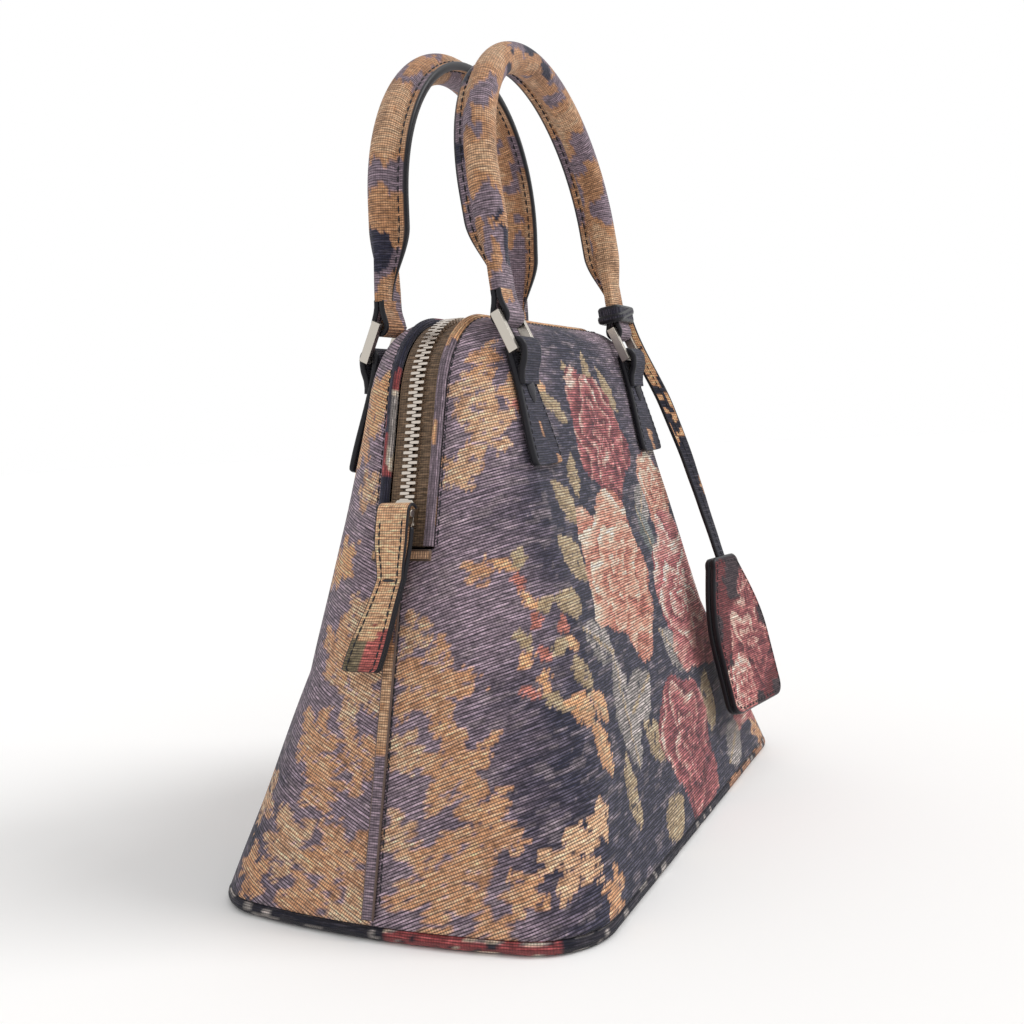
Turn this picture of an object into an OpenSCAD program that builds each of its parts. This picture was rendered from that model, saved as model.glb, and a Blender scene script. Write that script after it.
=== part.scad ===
// Dome-shaped tapestry handbag with a zip over the top, two rolled handles on
// rectangular rings, a strap puller on the slider and a hanging name tag.
// Length runs along X, depth along Y with the front face at -Y, height along Z.

/* [Body] */
// Length of the base
base_len = 300; // [260:1:340]
// Depth of the base
base_depth = 160; // [144:1:176]
// Height of the body to the top of the zip
body_h = 220; // [205:1:240]
// Inward lean of the two ends
end_lean = 16.3; // [14:0.1:18]
// Inward lean of the front and back faces
face_lean = 14.3; // [13.4:0.1:14.7]
// Radius of the dome's shoulders
shoulder_r = 40; // [34:1:46]
// Radius of the rolled top edge of the faces
rim_r = 16; // [14.5:0.5:17]
// Corner radius of the body at the base
corner_r = 28; // [20:1:34]
// Half angle of the shallow arc across each end
end_arc = 10; // [6:1:14]
// Thickness of the lined cloth panels
panel_t = 2.4; // [1.6:0.1:3]

/* [Base] */
// Diameter of the piping round the base
base_piping_d = 5; // [4:0.5:7]
// Thickness of the base panel
base_t = 2.4; // [1.6:0.1:2.8]
// Thickness of the stiffening board inside
board_t = 2; // [1:0.5:4]
// Width of the welt on the side seams
welt_w = 5; // [3:0.5:8]
// Thickness of the welts
welt_t = 1.2; // [0.8:0.1:2]

/* [Zip] */
// Height where the zip begins on each end
zip_start = 133; // [115:1:150]
// Width of the zip slot between the panel edges
slot_w = 25; // [24:0.5:28]
// Diameter of the piping beside the zip
zip_piping_d = 4; // [3.5:0.1:4.4]
// Thickness of the zip tapes
tape_t = 0.9; // [0.5:0.1:1.5]
// Depth of the tapes below the body's outline
tape_depth = 1.2; // [0.8:0.1:1.8]
// Width of the closed chain of teeth
chain_w = 6.2; // [5:0.1:7]
// Pitch of the teeth on one tape
tooth_pitch = 2.6; // [2.5:0.1:3.2]
// Height of the teeth
tooth_h = 1.9; // [1.2:0.1:2.4]
// Length of the slider
slider_len = 12; // [9:0.5:15]
// Length of the puller from its pin to its tail end
pull_len = 58; // [45:1:70]
// Width of the puller's tail
pull_w = 15.5; // [13:0.5:18]
// Thickness of the puller strap, folded double
pull_t = 3.6; // [2.4:0.2:4.4]

/* [Handles] */
// Distance between the two rings of a handle
ring_pitch = 132; // [112:1:144]
// Height of a handle above its rings
handle_h = 123; // [105:1:140]
// Diameter of the rolled handle
handle_d = 13; // [10:0.5:15]
// Length of the stitched flange on a handle
flange_l = 4.6; // [3:0.2:6]
// Width of the straps that go round the rings
strap_w = 16; // [13:0.5:18]
// Diameter of the ring's bars
bar_d = 3; // [2.5:0.1:3.4]
// Height of a ring between bar centres
ring_h = 14; // [13:0.5:17]
// Inward lean of the rings at rest
ring_lean = 25; // [14:1:27]
// Distance of the front handle's top from the middle plane
front_reach = 11; // [10.5:0.5:18]
// Distance of the back handle's top from the middle plane
back_reach = 24; // [17:0.5:28]
// Drop of the ring's lower bar below the top of the zip
ring_drop = 14; // [12:0.5:16]
// Length of the tabs below the lower bar
tab_len = 46; // [34:1:56]
// Width of the tabs at their lower end
tab_w = 27; // [20:1:32]
// Thickness of the tabs
tab_t = 2.8; // [2:0.1:3.4]
// Height of the bulge on a tab where its tongue is tucked in
tongue_h = 1.6; // [1:0.1:2.4]

/* [Tag] */
// Width of the name tag
tag_w = 54; // [40:1:62]
// Length of the name tag
tag_len = 74; // [60:1:84]
// Thickness of one leaf of the tag
leaf_t = 2.9; // [2:0.1:3.4]
// Width of the tag's strap
tag_strap_w = 7.5; // [6:0.5:9]
// Thickness of the tag's strap
tag_strap_t = 2; // [1.4:0.1:2.4]
// Thickness of the knotted loop round the handle
knot_t = 3.4; // [2.4:0.2:4]
// Height of the knotted loop
knot_h = 9; // [7:0.5:10]

/* [Hidden] */

// Gap between pieces that lie against each other
seat = 0.3;
// Half gap at the side seams
seam_gap = 0.15;

cloth = [0.42, 0.36, 0.36];
gold_cloth = [0.70, 0.52, 0.32];
edge_black = [0.09, 0.09, 0.12];
nickel = [0.80, 0.78, 0.74];
tape_brown = [0.36, 0.29, 0.22];
rose_cloth = [0.55, 0.22, 0.22];
board_brown = [0.25, 0.22, 0.20];

// End outline: a leaning line, then the shoulder arc, up to the flat top
shoulder_z = body_h - shoulder_r;
shoulder_x = base_len / 2 - shoulder_z * tan(end_lean) - shoulder_r / cos(end_lean);
line_top_z = shoulder_z + shoulder_r * sin(end_lean);
// Face outline: a leaning line, then the rim arc, up to the panel's edge
rim_z = body_h - rim_r;
rim_y = base_depth / 2 - rim_z * tan(face_lean) - rim_r / cos(face_lean);
face_top_z = rim_z + rim_r * sin(face_lean);
slot_half = slot_w / 2;
rim_edge_y = slot_half + 1;
rim_top_z = rim_z + sqrt(rim_r * rim_r - pow(rim_edge_y - rim_y, 2));

function half_length(z) = z < line_top_z
  ? base_len / 2 - z * tan(end_lean)
  : shoulder_x + sqrt(max(0, shoulder_r * shoulder_r - pow(z - shoulder_z, 2)));
function half_depth(z) = z < face_top_z
  ? base_depth / 2 - z * tan(face_lean)
  : rim_y + sqrt(max(0, rim_r * rim_r - pow(z - rim_z, 2)));
// The corners grow softer and flatter with height, until the faces close in on the zip
corner_growth = 0.22;
corner_margin = 0.2;
corner_flat = 0.5;
function corner(z) = min(corner_r + corner_growth * z, half_depth(z) - slot_half - corner_margin);

// One point list from the left end round the front to the right end at height z
end_steps = 3;
corner_steps = 6;
face_steps = 10;
function end_half(z) = half_depth(z) - corner(z) * (1 - sin(end_arc));
function end_r(z) = end_half(z) / sin(end_arc);
function corner_x(z) = half_length(z) - end_r(z) + (end_r(z) - corner(z)) * cos(end_arc);
function quarter(z, w) =
  let (
    r = corner(z), big = end_r(z), t0 = asin(w / big), k = corner_flat * z / body_h,
    mid = [corner_x(z), end_half(z) - r * sin(end_arc)],
    from = mid + r * [cos(end_arc), sin(end_arc)],
    chord = mid + [0, r] - from
  )
  concat(
    [for (i = [0 : end_steps - 1]) let (t = t0 + (end_arc - t0) * i / end_steps)
      [half_length(z) - big + big * cos(t), big * sin(t)]],
    [for (i = [0 : corner_steps]) let (f = i / corner_steps, t = end_arc + (90 - end_arc) * f)
      (mid + r * [cos(t), sin(t)]) * (1 - k) + (from + f * chord) * k]
  );
function section(z, w) =
  let (q = quarter(z, w), n = len(q), x0 = corner_x(z))
  concat(
    [for (p = q) [-p[0], -p[1], z]],
    [for (i = [1 : face_steps - 1]) [-x0 + 2 * x0 * i / face_steps, -half_depth(z), z]],
    [for (i = [n - 1 : -1 : 0]) [q[i][0], -q[i][1], z]]
  );

// Row heights of a panel, denser where the shoulder turns over
panel_z0 = base_piping_d + seat;
low_rows = 8;
mid_rows = 4;
top_rows = 8;
slot_step = 0.6;
top_angle = asin((rim_top_z - shoulder_z) / shoulder_r);
row_z = concat(
  [for (i = [0 : low_rows]) panel_z0 + (zip_start - slot_step - panel_z0) * i / low_rows],
  [for (i = [0 : mid_rows - 1]) zip_start + (line_top_z - zip_start) * i / mid_rows],
  [for (i = [0 : top_rows]) shoulder_z + shoulder_r * sin(end_lean + (top_angle - end_lean) * i / top_rows)]
);
function slot_at(z) = z < zip_start ? seam_gap : slot_half;
grid = [for (z = row_z) section(z, slot_at(z))];

function unit(v) = v / norm(v);
function clamp_i(i, n) = max(0, min(n - 1, i));
function grid_normal(g, j, i) =
  let (
    rows = len(g), cols = len(g[0]),
    across = g[j][clamp_i(i + 1, cols)] - g[j][clamp_i(i - 1, cols)],
    up = g[clamp_i(j + 1, rows)][i] - g[clamp_i(j - 1, rows)][i]
  ) unit(cross(across, up));
// The inner skin keeps the panel's cut edges square to its depth
function inner_point(g, j, i, t) =
  let (
    n = grid_normal(g, j, i), p = g[j][i] - t * n,
    at_edge = i == 0 || i == len(g[0]) - 1,
    low = j == 0 ? g[j][i][2] : p[2]
  ) [p[0], at_edge ? g[j][i][1] : min(p[1], -slot_at(g[j][i][2])), low];

// A closed skin between an outer and an inner grid of the same size
module skin(outer, inner) {
  rows = len(outer);
  cols = len(outer[0]);
  n = rows * cols;
  points = concat([for (r = outer) for (p = r) p], [for (r = inner) for (p = r) p]);
  rim = concat(
    [for (i = [0 : cols - 1]) i],
    [for (j = [1 : rows - 1]) j * cols + cols - 1],
    [for (i = [cols - 2 : -1 : 0]) (rows - 1) * cols + i],
    [for (j = [rows - 2 : -1 : 1]) j * cols]
  );
  m = len(rim);
  cells = [for (j = [0 : rows - 2]) for (i = [0 : cols - 2]) j * cols + i];
  faces = concat(
    [for (k = cells) [k, k + cols, k + 1]],
    [for (k = cells) [k + 1, k + cols, k + cols + 1]],
    [for (k = cells) [n + k, n + k + 1, n + k + cols]],
    [for (k = cells) [n + k + 1, n + k + cols + 1, n + k + cols]],
    [for (i = [0 : m - 1]) [rim[i], rim[(i + 1) % m], rim[i] + n]],
    [for (i = [0 : m - 1]) [rim[(i + 1) % m], rim[(i + 1) % m] + n, rim[i] + n]]
  );
  polyhedron(points, faces, convexity = 6);
}

module panel() {
  inner = [for (j = [0 : len(grid) - 1]) [for (i = [0 : len(grid[0]) - 1]) inner_point(grid, j, i, panel_t)]];
  skin(grid, inner);
}
module front_panel() { color(cloth) panel(); }
module back_panel() { color(cloth) rotate([0, 0, 180]) panel(); }

// Outline of the base: straight faces, arc ends and round corners, moved in by inset
outline_steps = 6;
function arc_points(c, r, a0, a1, first, last) =
  [for (i = [first : last]) let (a = a0 + (a1 - a0) * i / outline_steps) c + r * [cos(a), sin(a)]];
function base_ring(inset) =
  let (
    z = base_piping_d / 2, n = outline_steps, r = corner(z) - inset, big = end_r(z) - inset,
    end_c = [half_length(z) - end_r(z), 0],
    mid = [corner_x(z), end_half(z) - corner(z) * sin(end_arc)]
  )
  concat(
    arc_points(end_c, big, -end_arc, end_arc, 0, n),
    arc_points(mid, r, end_arc, 90, 1, n),
    arc_points([-mid[0], mid[1]], r, 90, 180 - end_arc, 0, n - 1),
    arc_points(-end_c, big, 180 - end_arc, 180 + end_arc, 0, n),
    arc_points(-mid, r, 180 + end_arc, 270, 1, n),
    arc_points([mid[0], -mid[1]], r, 270, 360 - end_arc, 0, n - 1)
  );
module base_panel() {
  color(cloth) linear_extrude(base_t) polygon(base_ring(base_piping_d + seat));
}
module base_board() {
  color(board_brown) translate([0, 0, base_t])
    linear_extrude(board_t) polygon(base_ring(base_piping_d + 2 * panel_t));
}

// A tube through rings of points: capped at both ends, or closed on itself
module sweep(rings, closed = false) {
  n = len(rings[0]);
  m = len(rings);
  runs = closed ? m : m - 1;
  caps = closed ? [] : [[for (i = [0 : n - 1]) i], [for (i = [n - 1 : -1 : 0]) (m - 1) * n + i]];
  polyhedron([for (r = rings) for (p = r) p], concat(
    [for (j = [0 : runs - 1]) for (i = [0 : n - 1])
      [j * n + i, (j + 1) % m * n + i, j * n + (i + 1) % n]],
    [for (j = [0 : runs - 1]) for (i = [0 : n - 1])
      [j * n + (i + 1) % n, (j + 1) % m * n + i, (j + 1) % m * n + (i + 1) % n]],
    caps
  ), convexity = 6);
}

// Piping round the base, a round cord that follows the outline
piping_sides = 12;
module base_piping() {
  r = base_piping_d / 2;
  path = base_ring(r);
  m = len(path);
  color(edge_black) sweep([for (i = [0 : m - 1])
    let (along = unit(path[(i + 1) % m] - path[(i + m - 1) % m]), out = [along[1], -along[0]])
    [for (k = [0 : piping_sides - 1]) let (a = 360 * k / piping_sides, q = path[i] + r * cos(a) * out)
      [q[0], q[1], r + r * sin(a)]]], closed = true);
}

// Places children on the left end's leaning line: X out of the bag, Z up along the end
module on_left_end(z) {
  translate([-half_length(z), 0, z]) rotate([0, end_lean, 0]) mirror([1, 0, 0]) children();
}
// Welts on the side seams, mostly on the far side of the seam, up to the zip's end pieces
welt_foot = base_piping_d + 2;
welt_lap = 0.2;
zip_end_h = 4.5;
module side_welt() {
  run = (zip_start - zip_end_h - seat - welt_foot) / cos(end_lean);
  on_left_end(welt_foot) translate([seat, -welt_w * welt_lap, 0]) cube([welt_t, welt_w, run]);
}
module left_side_welt() { color(gold_cloth) side_welt(); }
module right_side_welt() { color(gold_cloth) rotate([0, 0, 180]) side_welt(); }

// The folded end piece that closes the zip slot at its foot
zip_end_t = welt_t + 0.6;
module zip_end() {
  on_left_end(zip_start - zip_end_h) translate([seat, -slot_half, 0])
    cube([zip_end_t, slot_w, zip_end_h / cos(end_lean) - seat]);
}
module left_zip_end() { color(gold_cloth) zip_end(); }
module right_zip_end() { color(gold_cloth) rotate([0, 0, 180]) zip_end(); }

// Zip outline in the X and Z plane, moved in by depth, from the left end to the right
zip_foot = zip_start + 1;
arc_steps = 14;
function zip_side(depth, s) =
  let (foot = [half_length(zip_foot) - depth * cos(end_lean), zip_foot - depth * sin(end_lean)])
  concat([[s * foot[0], foot[1]]],
    [for (i = [0 : arc_steps]) let (a = end_lean + (90 - end_lean) * i / arc_steps)
      [s * (shoulder_x + (shoulder_r - depth) * cos(a)), shoulder_z + (shoulder_r - depth) * sin(a)]]);
function reverse(v) = [for (i = [len(v) - 1 : -1 : 0]) v[i]];
function zip_line(depth) = concat(zip_side(depth, -1), reverse(zip_side(depth, 1)));
tape_edge = slot_half - zip_piping_d - 2 * seat;
tape_gap = 0.6;
module tape() {
  translate([0, -tape_gap, 0]) rotate([90, 0, 0]) linear_extrude(tape_edge - tape_gap)
    polygon(concat(zip_line(tape_depth), reverse(zip_line(tape_depth + tape_t))));
}
module front_zip_tape() { color(tape_brown) tape(); }
module back_zip_tape() { color(tape_brown) rotate([0, 0, 180]) tape(); }

// Length along the zip, measured from the foot of the left end
zip_run = (line_top_z - zip_foot) / cos(end_lean);
zip_arc = shoulder_r * (90 - end_lean) * PI / 180;
zip_total = 2 * (zip_run + zip_arc + shoulder_x);
// Frame at length s along the zip: position and the tilt of its outward side
function zip_tilt(s) =
  s < zip_run ? end_lean
  : s < zip_run + zip_arc ? end_lean + (s - zip_run) / shoulder_r * 180 / PI
  : s < zip_total - zip_run - zip_arc ? 90
  : s < zip_total - zip_run ? 90 + (s - (zip_total - zip_run - zip_arc)) / shoulder_r * 180 / PI
  : 180 - end_lean;
function zip_point(s) =
  let (a = zip_tilt(s), u = s - zip_run - zip_arc, v = zip_total - s)
  s < zip_run ? [-half_length(zip_foot) + s * sin(end_lean), 0, zip_foot + s * cos(end_lean)]
  : s < zip_run + zip_arc ? [-shoulder_x - shoulder_r * cos(a), 0, shoulder_z + shoulder_r * sin(a)]
  : u < 2 * shoulder_x ? [-shoulder_x + u, 0, body_h]
  : v > zip_run ? [shoulder_x - shoulder_r * cos(a), 0, shoulder_z + shoulder_r * sin(a)]
  : [half_length(zip_foot) - v * sin(end_lean), 0, zip_foot + v * cos(end_lean)];
// X points out of the bag and Z along the zip, away from the left foot
module on_zip(s) {
  translate(zip_point(s)) rotate([0, zip_tilt(s), 0]) mirror([1, 0, 0]) children();
}

// Round piping beside the zip, sunk a little below the body's outline
zip_piping_sink = 0.4;
piping_steps = 9;
piping_stops = concat(
  [0],
  [for (i = [0 : piping_steps]) zip_run + zip_arc * i / piping_steps],
  [for (i = [0 : piping_steps]) zip_total - zip_run - zip_arc * (1 - i / piping_steps)],
  [zip_total]
);
module zip_piping() {
  r = zip_piping_d / 2;
  y = -(slot_half - seat - r);
  sweep([for (s = piping_stops)
    let (out = [-cos(zip_tilt(s)), 0, sin(zip_tilt(s))], p = zip_point(s) + [0, y, 0] - zip_piping_sink * out)
    [for (k = [0 : piping_sides - 1]) let (a = 360 * k / piping_sides)
      p + r * cos(a) * out + [0, r * sin(a), 0]]]);
}
module front_zip_piping() { color(edge_black) zip_piping(); }
module back_zip_piping() { color(cloth) rotate([0, 0, 180]) zip_piping(); }

// A tooth seen from outside: a leg on the tape, a waist and a head past the middle
tooth_gap = 0.15;
tooth_lap = 0.75;
tooth_bevel = 0.5;
tooth_shoulder = 0.4;
tooth_lift = 0.05;
module tooth() {
  w = tooth_pitch / 2 - tooth_gap;
  root = chain_w / 2;
  foot = w * 0.42;
  head = w * 0.32;
  translate([-tape_depth + tooth_lift, 0, 0]) rotate([90, 0, 90]) linear_extrude(tooth_h)
    polygon([[-root, -foot], [-root + tooth_bevel, -w / 2], [-tooth_shoulder, -w / 2], [tooth_lap, -head],
      [tooth_lap, head], [-tooth_shoulder, w / 2], [-root + tooth_bevel, w / 2], [-root, foot]]);
}
first_tooth = 3;
tooth_count = floor((zip_total - 2 * first_tooth) / tooth_pitch);
module front_zip_teeth() {
  color(nickel) for (k = [0 : tooth_count - 1]) on_zip(first_tooth + k * tooth_pitch) tooth();
}
module back_zip_teeth() {
  color(nickel) for (k = [0 : tooth_count - 1]) on_zip(first_tooth + (k + 0.5) * tooth_pitch)
    mirror([0, 1, 0]) tooth();
}

// Slider: a plate over the chain with two side flanges and a bored lug for the pin
slider_s = first_tooth + slider_len / 2 + 2;
slider_lap = 1.3;
slider_half = chain_w / 2 + slider_lap;
slider_wall = 0.9;
plate_low = tooth_h - tape_depth + tooth_lift + seat;
plate_t = 1.3;
pin_r = 1.5;
pin_play = 0.3;
pin_rise = 4.2;
pin_out = plate_low + plate_t + pin_rise;
lug_w = 3;
lug_wall = 1.2;
lug_r = pin_r + pin_play + lug_wall;
module zip_slider() {
  color(nickel) on_zip(slider_s) difference() {
    union() {
      intersection() {
        translate([plate_low, 0, 0]) rotate([90, 0, 90]) linear_extrude(plate_t) slider_outline();
        translate([plate_low, -slider_half, -slider_len / 2]) cube([plate_t, 2 * slider_half, slider_len]);
      }
      for (s = [-1, 1])
        translate([-tape_depth + seat, s > 0 ? slider_half - slider_wall : -slider_half, -slider_len * 0.3])
          cube([plate_low + tape_depth - seat + plate_t / 2, slider_wall, slider_len * 0.6]);
      translate([0, -lug_w / 2, 0]) rotate([-90, 0, 0]) linear_extrude(lug_w) lug_outline();
    }
    translate([pin_out, -lug_w, 0]) rotate([-90, 0, 0])
      cylinder(h = 2 * lug_w, r = pin_r + pin_play, $fn = 32);
  }
}
// Plan of the slider's plate, wider at the mouth than at the tail
module slider_outline() {
  m = slider_half;
  l = slider_len / 2;
  polygon([[-m * 0.75, -l], [m * 0.75, -l], [m, -l * 0.4], [m, l * 0.7], [m * 0.7, l], [-m * 0.7, l],
    [-m, l * 0.7], [-m, -l * 0.4]]);
}
// Side view of the lug that carries the pin
module lug_outline() {
  translate([pin_out, 0]) circle(lug_r, $fn = 32);
  translate([plate_low + plate_t / 2, -lug_r]) square([pin_out - plate_low - plate_t / 2, 2 * lug_r]);
}
pull_loop_w = 13.5;
pin_len = pull_loop_w - 0.8;
module pull_pin() {
  color(nickel) on_zip(slider_s) translate([pin_out, -pin_len / 2, 0]) rotate([-90, 0, 0])
    cylinder(h = pin_len, r = pin_r, $fn = 32);
}

// Puller: a strap folded round the pin, narrow at the waist, with a flared tail set askew
pull_wall = 1.6;
pull_waist = 11;
pull_waist_at = 23;
pull_skew = 9;
pull_loop_h = 9;
pull_tip = 1.5;
lug_slit = lug_w + 1.4;
module zip_pull() {
  r = pin_r + 0.1;
  reach = 4 * r;
  color(gold_cloth) on_zip(slider_s) difference() {
    intersection() {
      translate([pin_out, -pull_w * 2, 0]) rotate([-90, 0, 0]) linear_extrude(pull_w * 4) pull_side(r);
      rotate([90, 0, 90]) linear_extrude(2 * pin_out) pull_front();
    }
    translate([pin_out - reach, -lug_slit / 2, -lug_r - 1.6]) cube([2 * reach, lug_slit, 2 * reach]);
  }
}
module pull_side(r) {
  difference() {
    union() {
      circle(r + pull_wall, $fn = 32);
      translate([-pull_t / 2, 0]) square([pull_t, pull_len]);
    }
    circle(r, $fn = 32);
  }
}
module pull_front() {
  a = pull_loop_w / 2;
  b = pull_waist / 2;
  c = pull_w / 2;
  tip = pull_tip - pull_len;
  polygon([[-a, pull_loop_h], [a, pull_loop_h], [a, -pull_loop_h], [b, -pull_waist_at],
    [pull_skew + c, tip], [pull_skew + c - pull_tip, -pull_len],
    [pull_skew - c + pull_tip, -pull_len], [pull_skew - c, tip],
    [-b, -pull_waist_at], [-a, -pull_loop_h]]);
}

// The tabs lie on the leaning faces: Y out of the face, Z up along it, at the lower bar's height
loop_play = 0.3;
loop_r = bar_d / 2 + loop_play + tab_t;
ring_z = body_h - ring_drop;
face_y = half_depth(ring_z);
lower_bar = [0, -(face_y + (seat + loop_r) / cos(face_lean)), ring_z];
upper_bar = lower_bar + ring_h * [0, sin(ring_lean), cos(ring_lean)];
module at_corner(side, back) {
  rotate([0, 0, back ? 180 : 0]) translate([(back ? -side : side) * ring_pitch / 2, 0, 0]) children();
}
module on_tab() {
  translate(lower_bar) rotate([-face_lean, 0, 0]) children();
}
module tab_side() {
  difference() {
    union() {
      circle(loop_r, $fn = 48);
      translate([loop_r - tab_t, -tab_len]) square([tab_t, tab_len]);
      translate([0, -loop_r]) square([loop_r, loop_r]);
    }
    circle(bar_d / 2 + loop_play, $fn = 48);
  }
}
tab_tip = 2;
module tab_front() {
  h = strap_w / 2;
  w = tab_w / 2;
  top = loop_r + 1;
  neck = -loop_r - 2;
  tip = tab_tip - tab_len;
  polygon([[-h, top], [h, top], [h, neck], [w, tip], [w - tab_tip, -tab_len],
    [tab_tip - w, -tab_len], [-w, tip], [-h, neck]]);
}
module tab() {
  on_tab() intersection() {
    translate([-tab_w, 0, 0]) rotate([90, 0, 90]) linear_extrude(2 * tab_w) tab_side();
    translate([0, 2 * loop_r, 0]) rotate([90, 0, 0]) linear_extrude(4 * loop_r) tab_front();
  }
}
module front_left_tab() { color(edge_black) at_corner(-1, false) tab(); }
module front_right_tab() { color(edge_black) at_corner(1, false) tab(); }
module back_left_tab() { color(edge_black) at_corner(-1, true) tab(); }
module back_right_tab() { color(edge_black) at_corner(1, true) tab(); }

// Almond-shaped bulges where the tongue of each tab is tucked into its slit
tongue_l = 13;
tongue_w = 6;
tongue_drop = 4;
module tongue() {
  r = (tongue_l * tongue_l / 4 + tongue_w * tongue_w / 4) / tongue_w;
  on_tab() translate([0, loop_r - tab_t, -loop_r - tongue_drop - tongue_l / 2]) rotate([90, 0, 0])
    linear_extrude(tongue_h) intersection_for(s = [-1, 1])
      translate([s * (r - tongue_w / 2), 0]) circle(r, $fn = 64);
}
module tab_tongues() {
  color(edge_black) for (side = [-1, 1]) for (back = [false, true]) at_corner(side, back) tongue();
}

// Rings: round upper and lower bars between flat side bars
ring_side_w = 3.8;
ring_side_t = 2.6;
ring_gap = 0.5;
ring_inner = strap_w + 2 * ring_gap;
bar_len = ring_inner + 2;
module ring() {
  translate(lower_bar) rotate([-ring_lean, 0, 0]) {
    for (z = [0, ring_h]) translate([-bar_len / 2, 0, z]) rotate([0, 90, 0])
      cylinder(h = bar_len, r = bar_d / 2, $fn = 32);
    for (s = [-1, 1])
      translate([s > 0 ? ring_inner / 2 : -ring_inner / 2 - ring_side_t, -ring_side_w / 2, -bar_d / 2])
        cube([ring_side_t, ring_side_w, ring_h + bar_d]);
  }
}
module front_left_ring() { color(nickel) at_corner(-1, false) ring(); }
module front_right_ring() { color(nickel) at_corner(1, false) ring(); }
module back_left_ring() { color(nickel) at_corner(-1, true) ring(); }
module back_right_ring() { color(nickel) at_corner(1, true) ring(); }

// Straps: the flat ends of the handles, folded round the upper bars
end_t = 4.4;
end_h = 10;
strap_t = 2.6;
strap_loop_r = bar_d / 2 + loop_play + strap_t;
// The handles lean inward until their tops reach their distances from the middle plane
top_h = handle_h - handle_d / 2;
front_lean = asin((-upper_bar[1] - front_reach) / top_h);
back_lean = asin((-upper_bar[1] - back_reach) / top_h);
module on_handle(lean) {
  translate(upper_bar) rotate([-lean, 0, 0]) children();
}
module strap_end(lean) {
  on_handle(lean) translate([-strap_w / 2, 0, 0]) rotate([90, 0, 90]) linear_extrude(strap_w) difference() {
    union() {
      circle(strap_loop_r, $fn = 48);
      translate([-end_t / 2, 0]) square([end_t, end_h]);
    }
    circle(bar_d / 2 + loop_play, $fn = 48);
  }
}
module front_left_strap() { color(gold_cloth) at_corner(-1, false) strap_end(front_lean); }
module front_right_strap() { color(gold_cloth) at_corner(1, false) strap_end(front_lean); }
module back_left_strap() { color(gold_cloth) at_corner(-1, true) strap_end(back_lean); }
module back_right_strap() { color(gold_cloth) at_corner(1, true) strap_end(back_lean); }

// Handle: a rolled tube with a stitched flange towards the other handle, flat at both ends
handle_half = ring_pitch / 2;
leg_h = top_h - handle_half;
leg_foot = end_h + 0.05;
flat_run = 30;
flange_t = 3.6;
leg_steps = 6;
bend_steps = 14;
function ease(t) = let (u = max(0, min(1, t))) u * u * (3 - 2 * u);
handle_path = concat(
  [for (i = [0 : leg_steps - 1]) [-handle_half, leg_foot + (leg_h - leg_foot) * i / leg_steps, 180]],
  [for (i = [0 : bend_steps]) let (a = 180 - 180 * i / bend_steps)
    [handle_half * cos(a), leg_h + handle_half * sin(a), a]],
  [for (i = [leg_steps - 1 : -1 : 0]) [handle_half, leg_foot + (leg_h - leg_foot) * i / leg_steps, 0]]
);
// Section of the rolled tube and of the flat strap, matched point by point
tube_open = 34;
tube_steps = 12;
tube_ring = concat(
  [for (i = [0 : tube_steps]) let (a = 90 + tube_open + (360 - 2 * tube_open) * i / tube_steps)
    handle_d / 2 * [cos(a), sin(a)]],
  [[flange_t / 2, handle_d / 2 + flange_l], [-flange_t / 2, handle_d / 2 + flange_l]]
);
flat_ring = [for (p = tube_ring) let (a = atan2(p[1], p[0]), c = cos(a), s = sin(a),
  k = min(strap_w / 2 / max(0.001, abs(c)), end_t / 2 / max(0.001, abs(s)))) [k * c, k * s]];
function handle_ring(p) =
  let (m = 1 - ease((p[1] - end_h) / flat_run))
  [for (i = [0 : len(tube_ring) - 1]) let (q = tube_ring[i] * (1 - m) + flat_ring[i] * m)
    [p[0] + q[0] * cos(p[2]), q[1], p[1] + q[0] * sin(p[2])]];
module handle(lean) {
  on_handle(lean) sweep([for (p = handle_path) handle_ring(p)]);
}
module front_handle() { color(gold_cloth) handle(front_lean); }
module back_handle() { color(gold_cloth) rotate([0, 0, 180]) handle(back_lean); }

// The tag's strap is knotted round the right end of the front handle, just above the ring
knot_lift = 0.6;
module knot_plan(grow) {
  w = strap_w / 2 + seat;
  t = end_t / 2 + seat;
  polygon([for (k = [0 : 3]) for (i = [0 : outline_steps])
    let (a = 90 * k + 90 * i / outline_steps, sx = k == 0 || k == 3 ? 1 : -1, sy = k < 2 ? 1 : -1)
    [sx * w + grow * cos(a), sy * t + grow * sin(a)]]);
}
module tag_knot() {
  color(edge_black) at_corner(1, false) on_handle(front_lean) translate([0, 0, strap_loop_r - knot_lift])
    linear_extrude(knot_h) difference() {
      knot_plan(knot_t);
      square([strap_w + 2 * seat, end_t + 2 * seat], center = true);
    }
}
// The strap's route, from beside the knot down in front of the face to the tag
tag_top = [76, -70, 107];
strap_route = [
  [80.5, -25, 227], [80.5, -27, 220], [80, -31, 211], [80, -35.5, 202], [80, -40, 193], [80, -44, 185],
  [79, -47, 177], [79, -50, 169], [79, -53, 161], [78, -56, 153], [78, -58, 145], [78, -61, 137],
  [77, -63, 129], [77, -66, 121], [76, -68, 114], [76, -70, 107.5]
];
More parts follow.
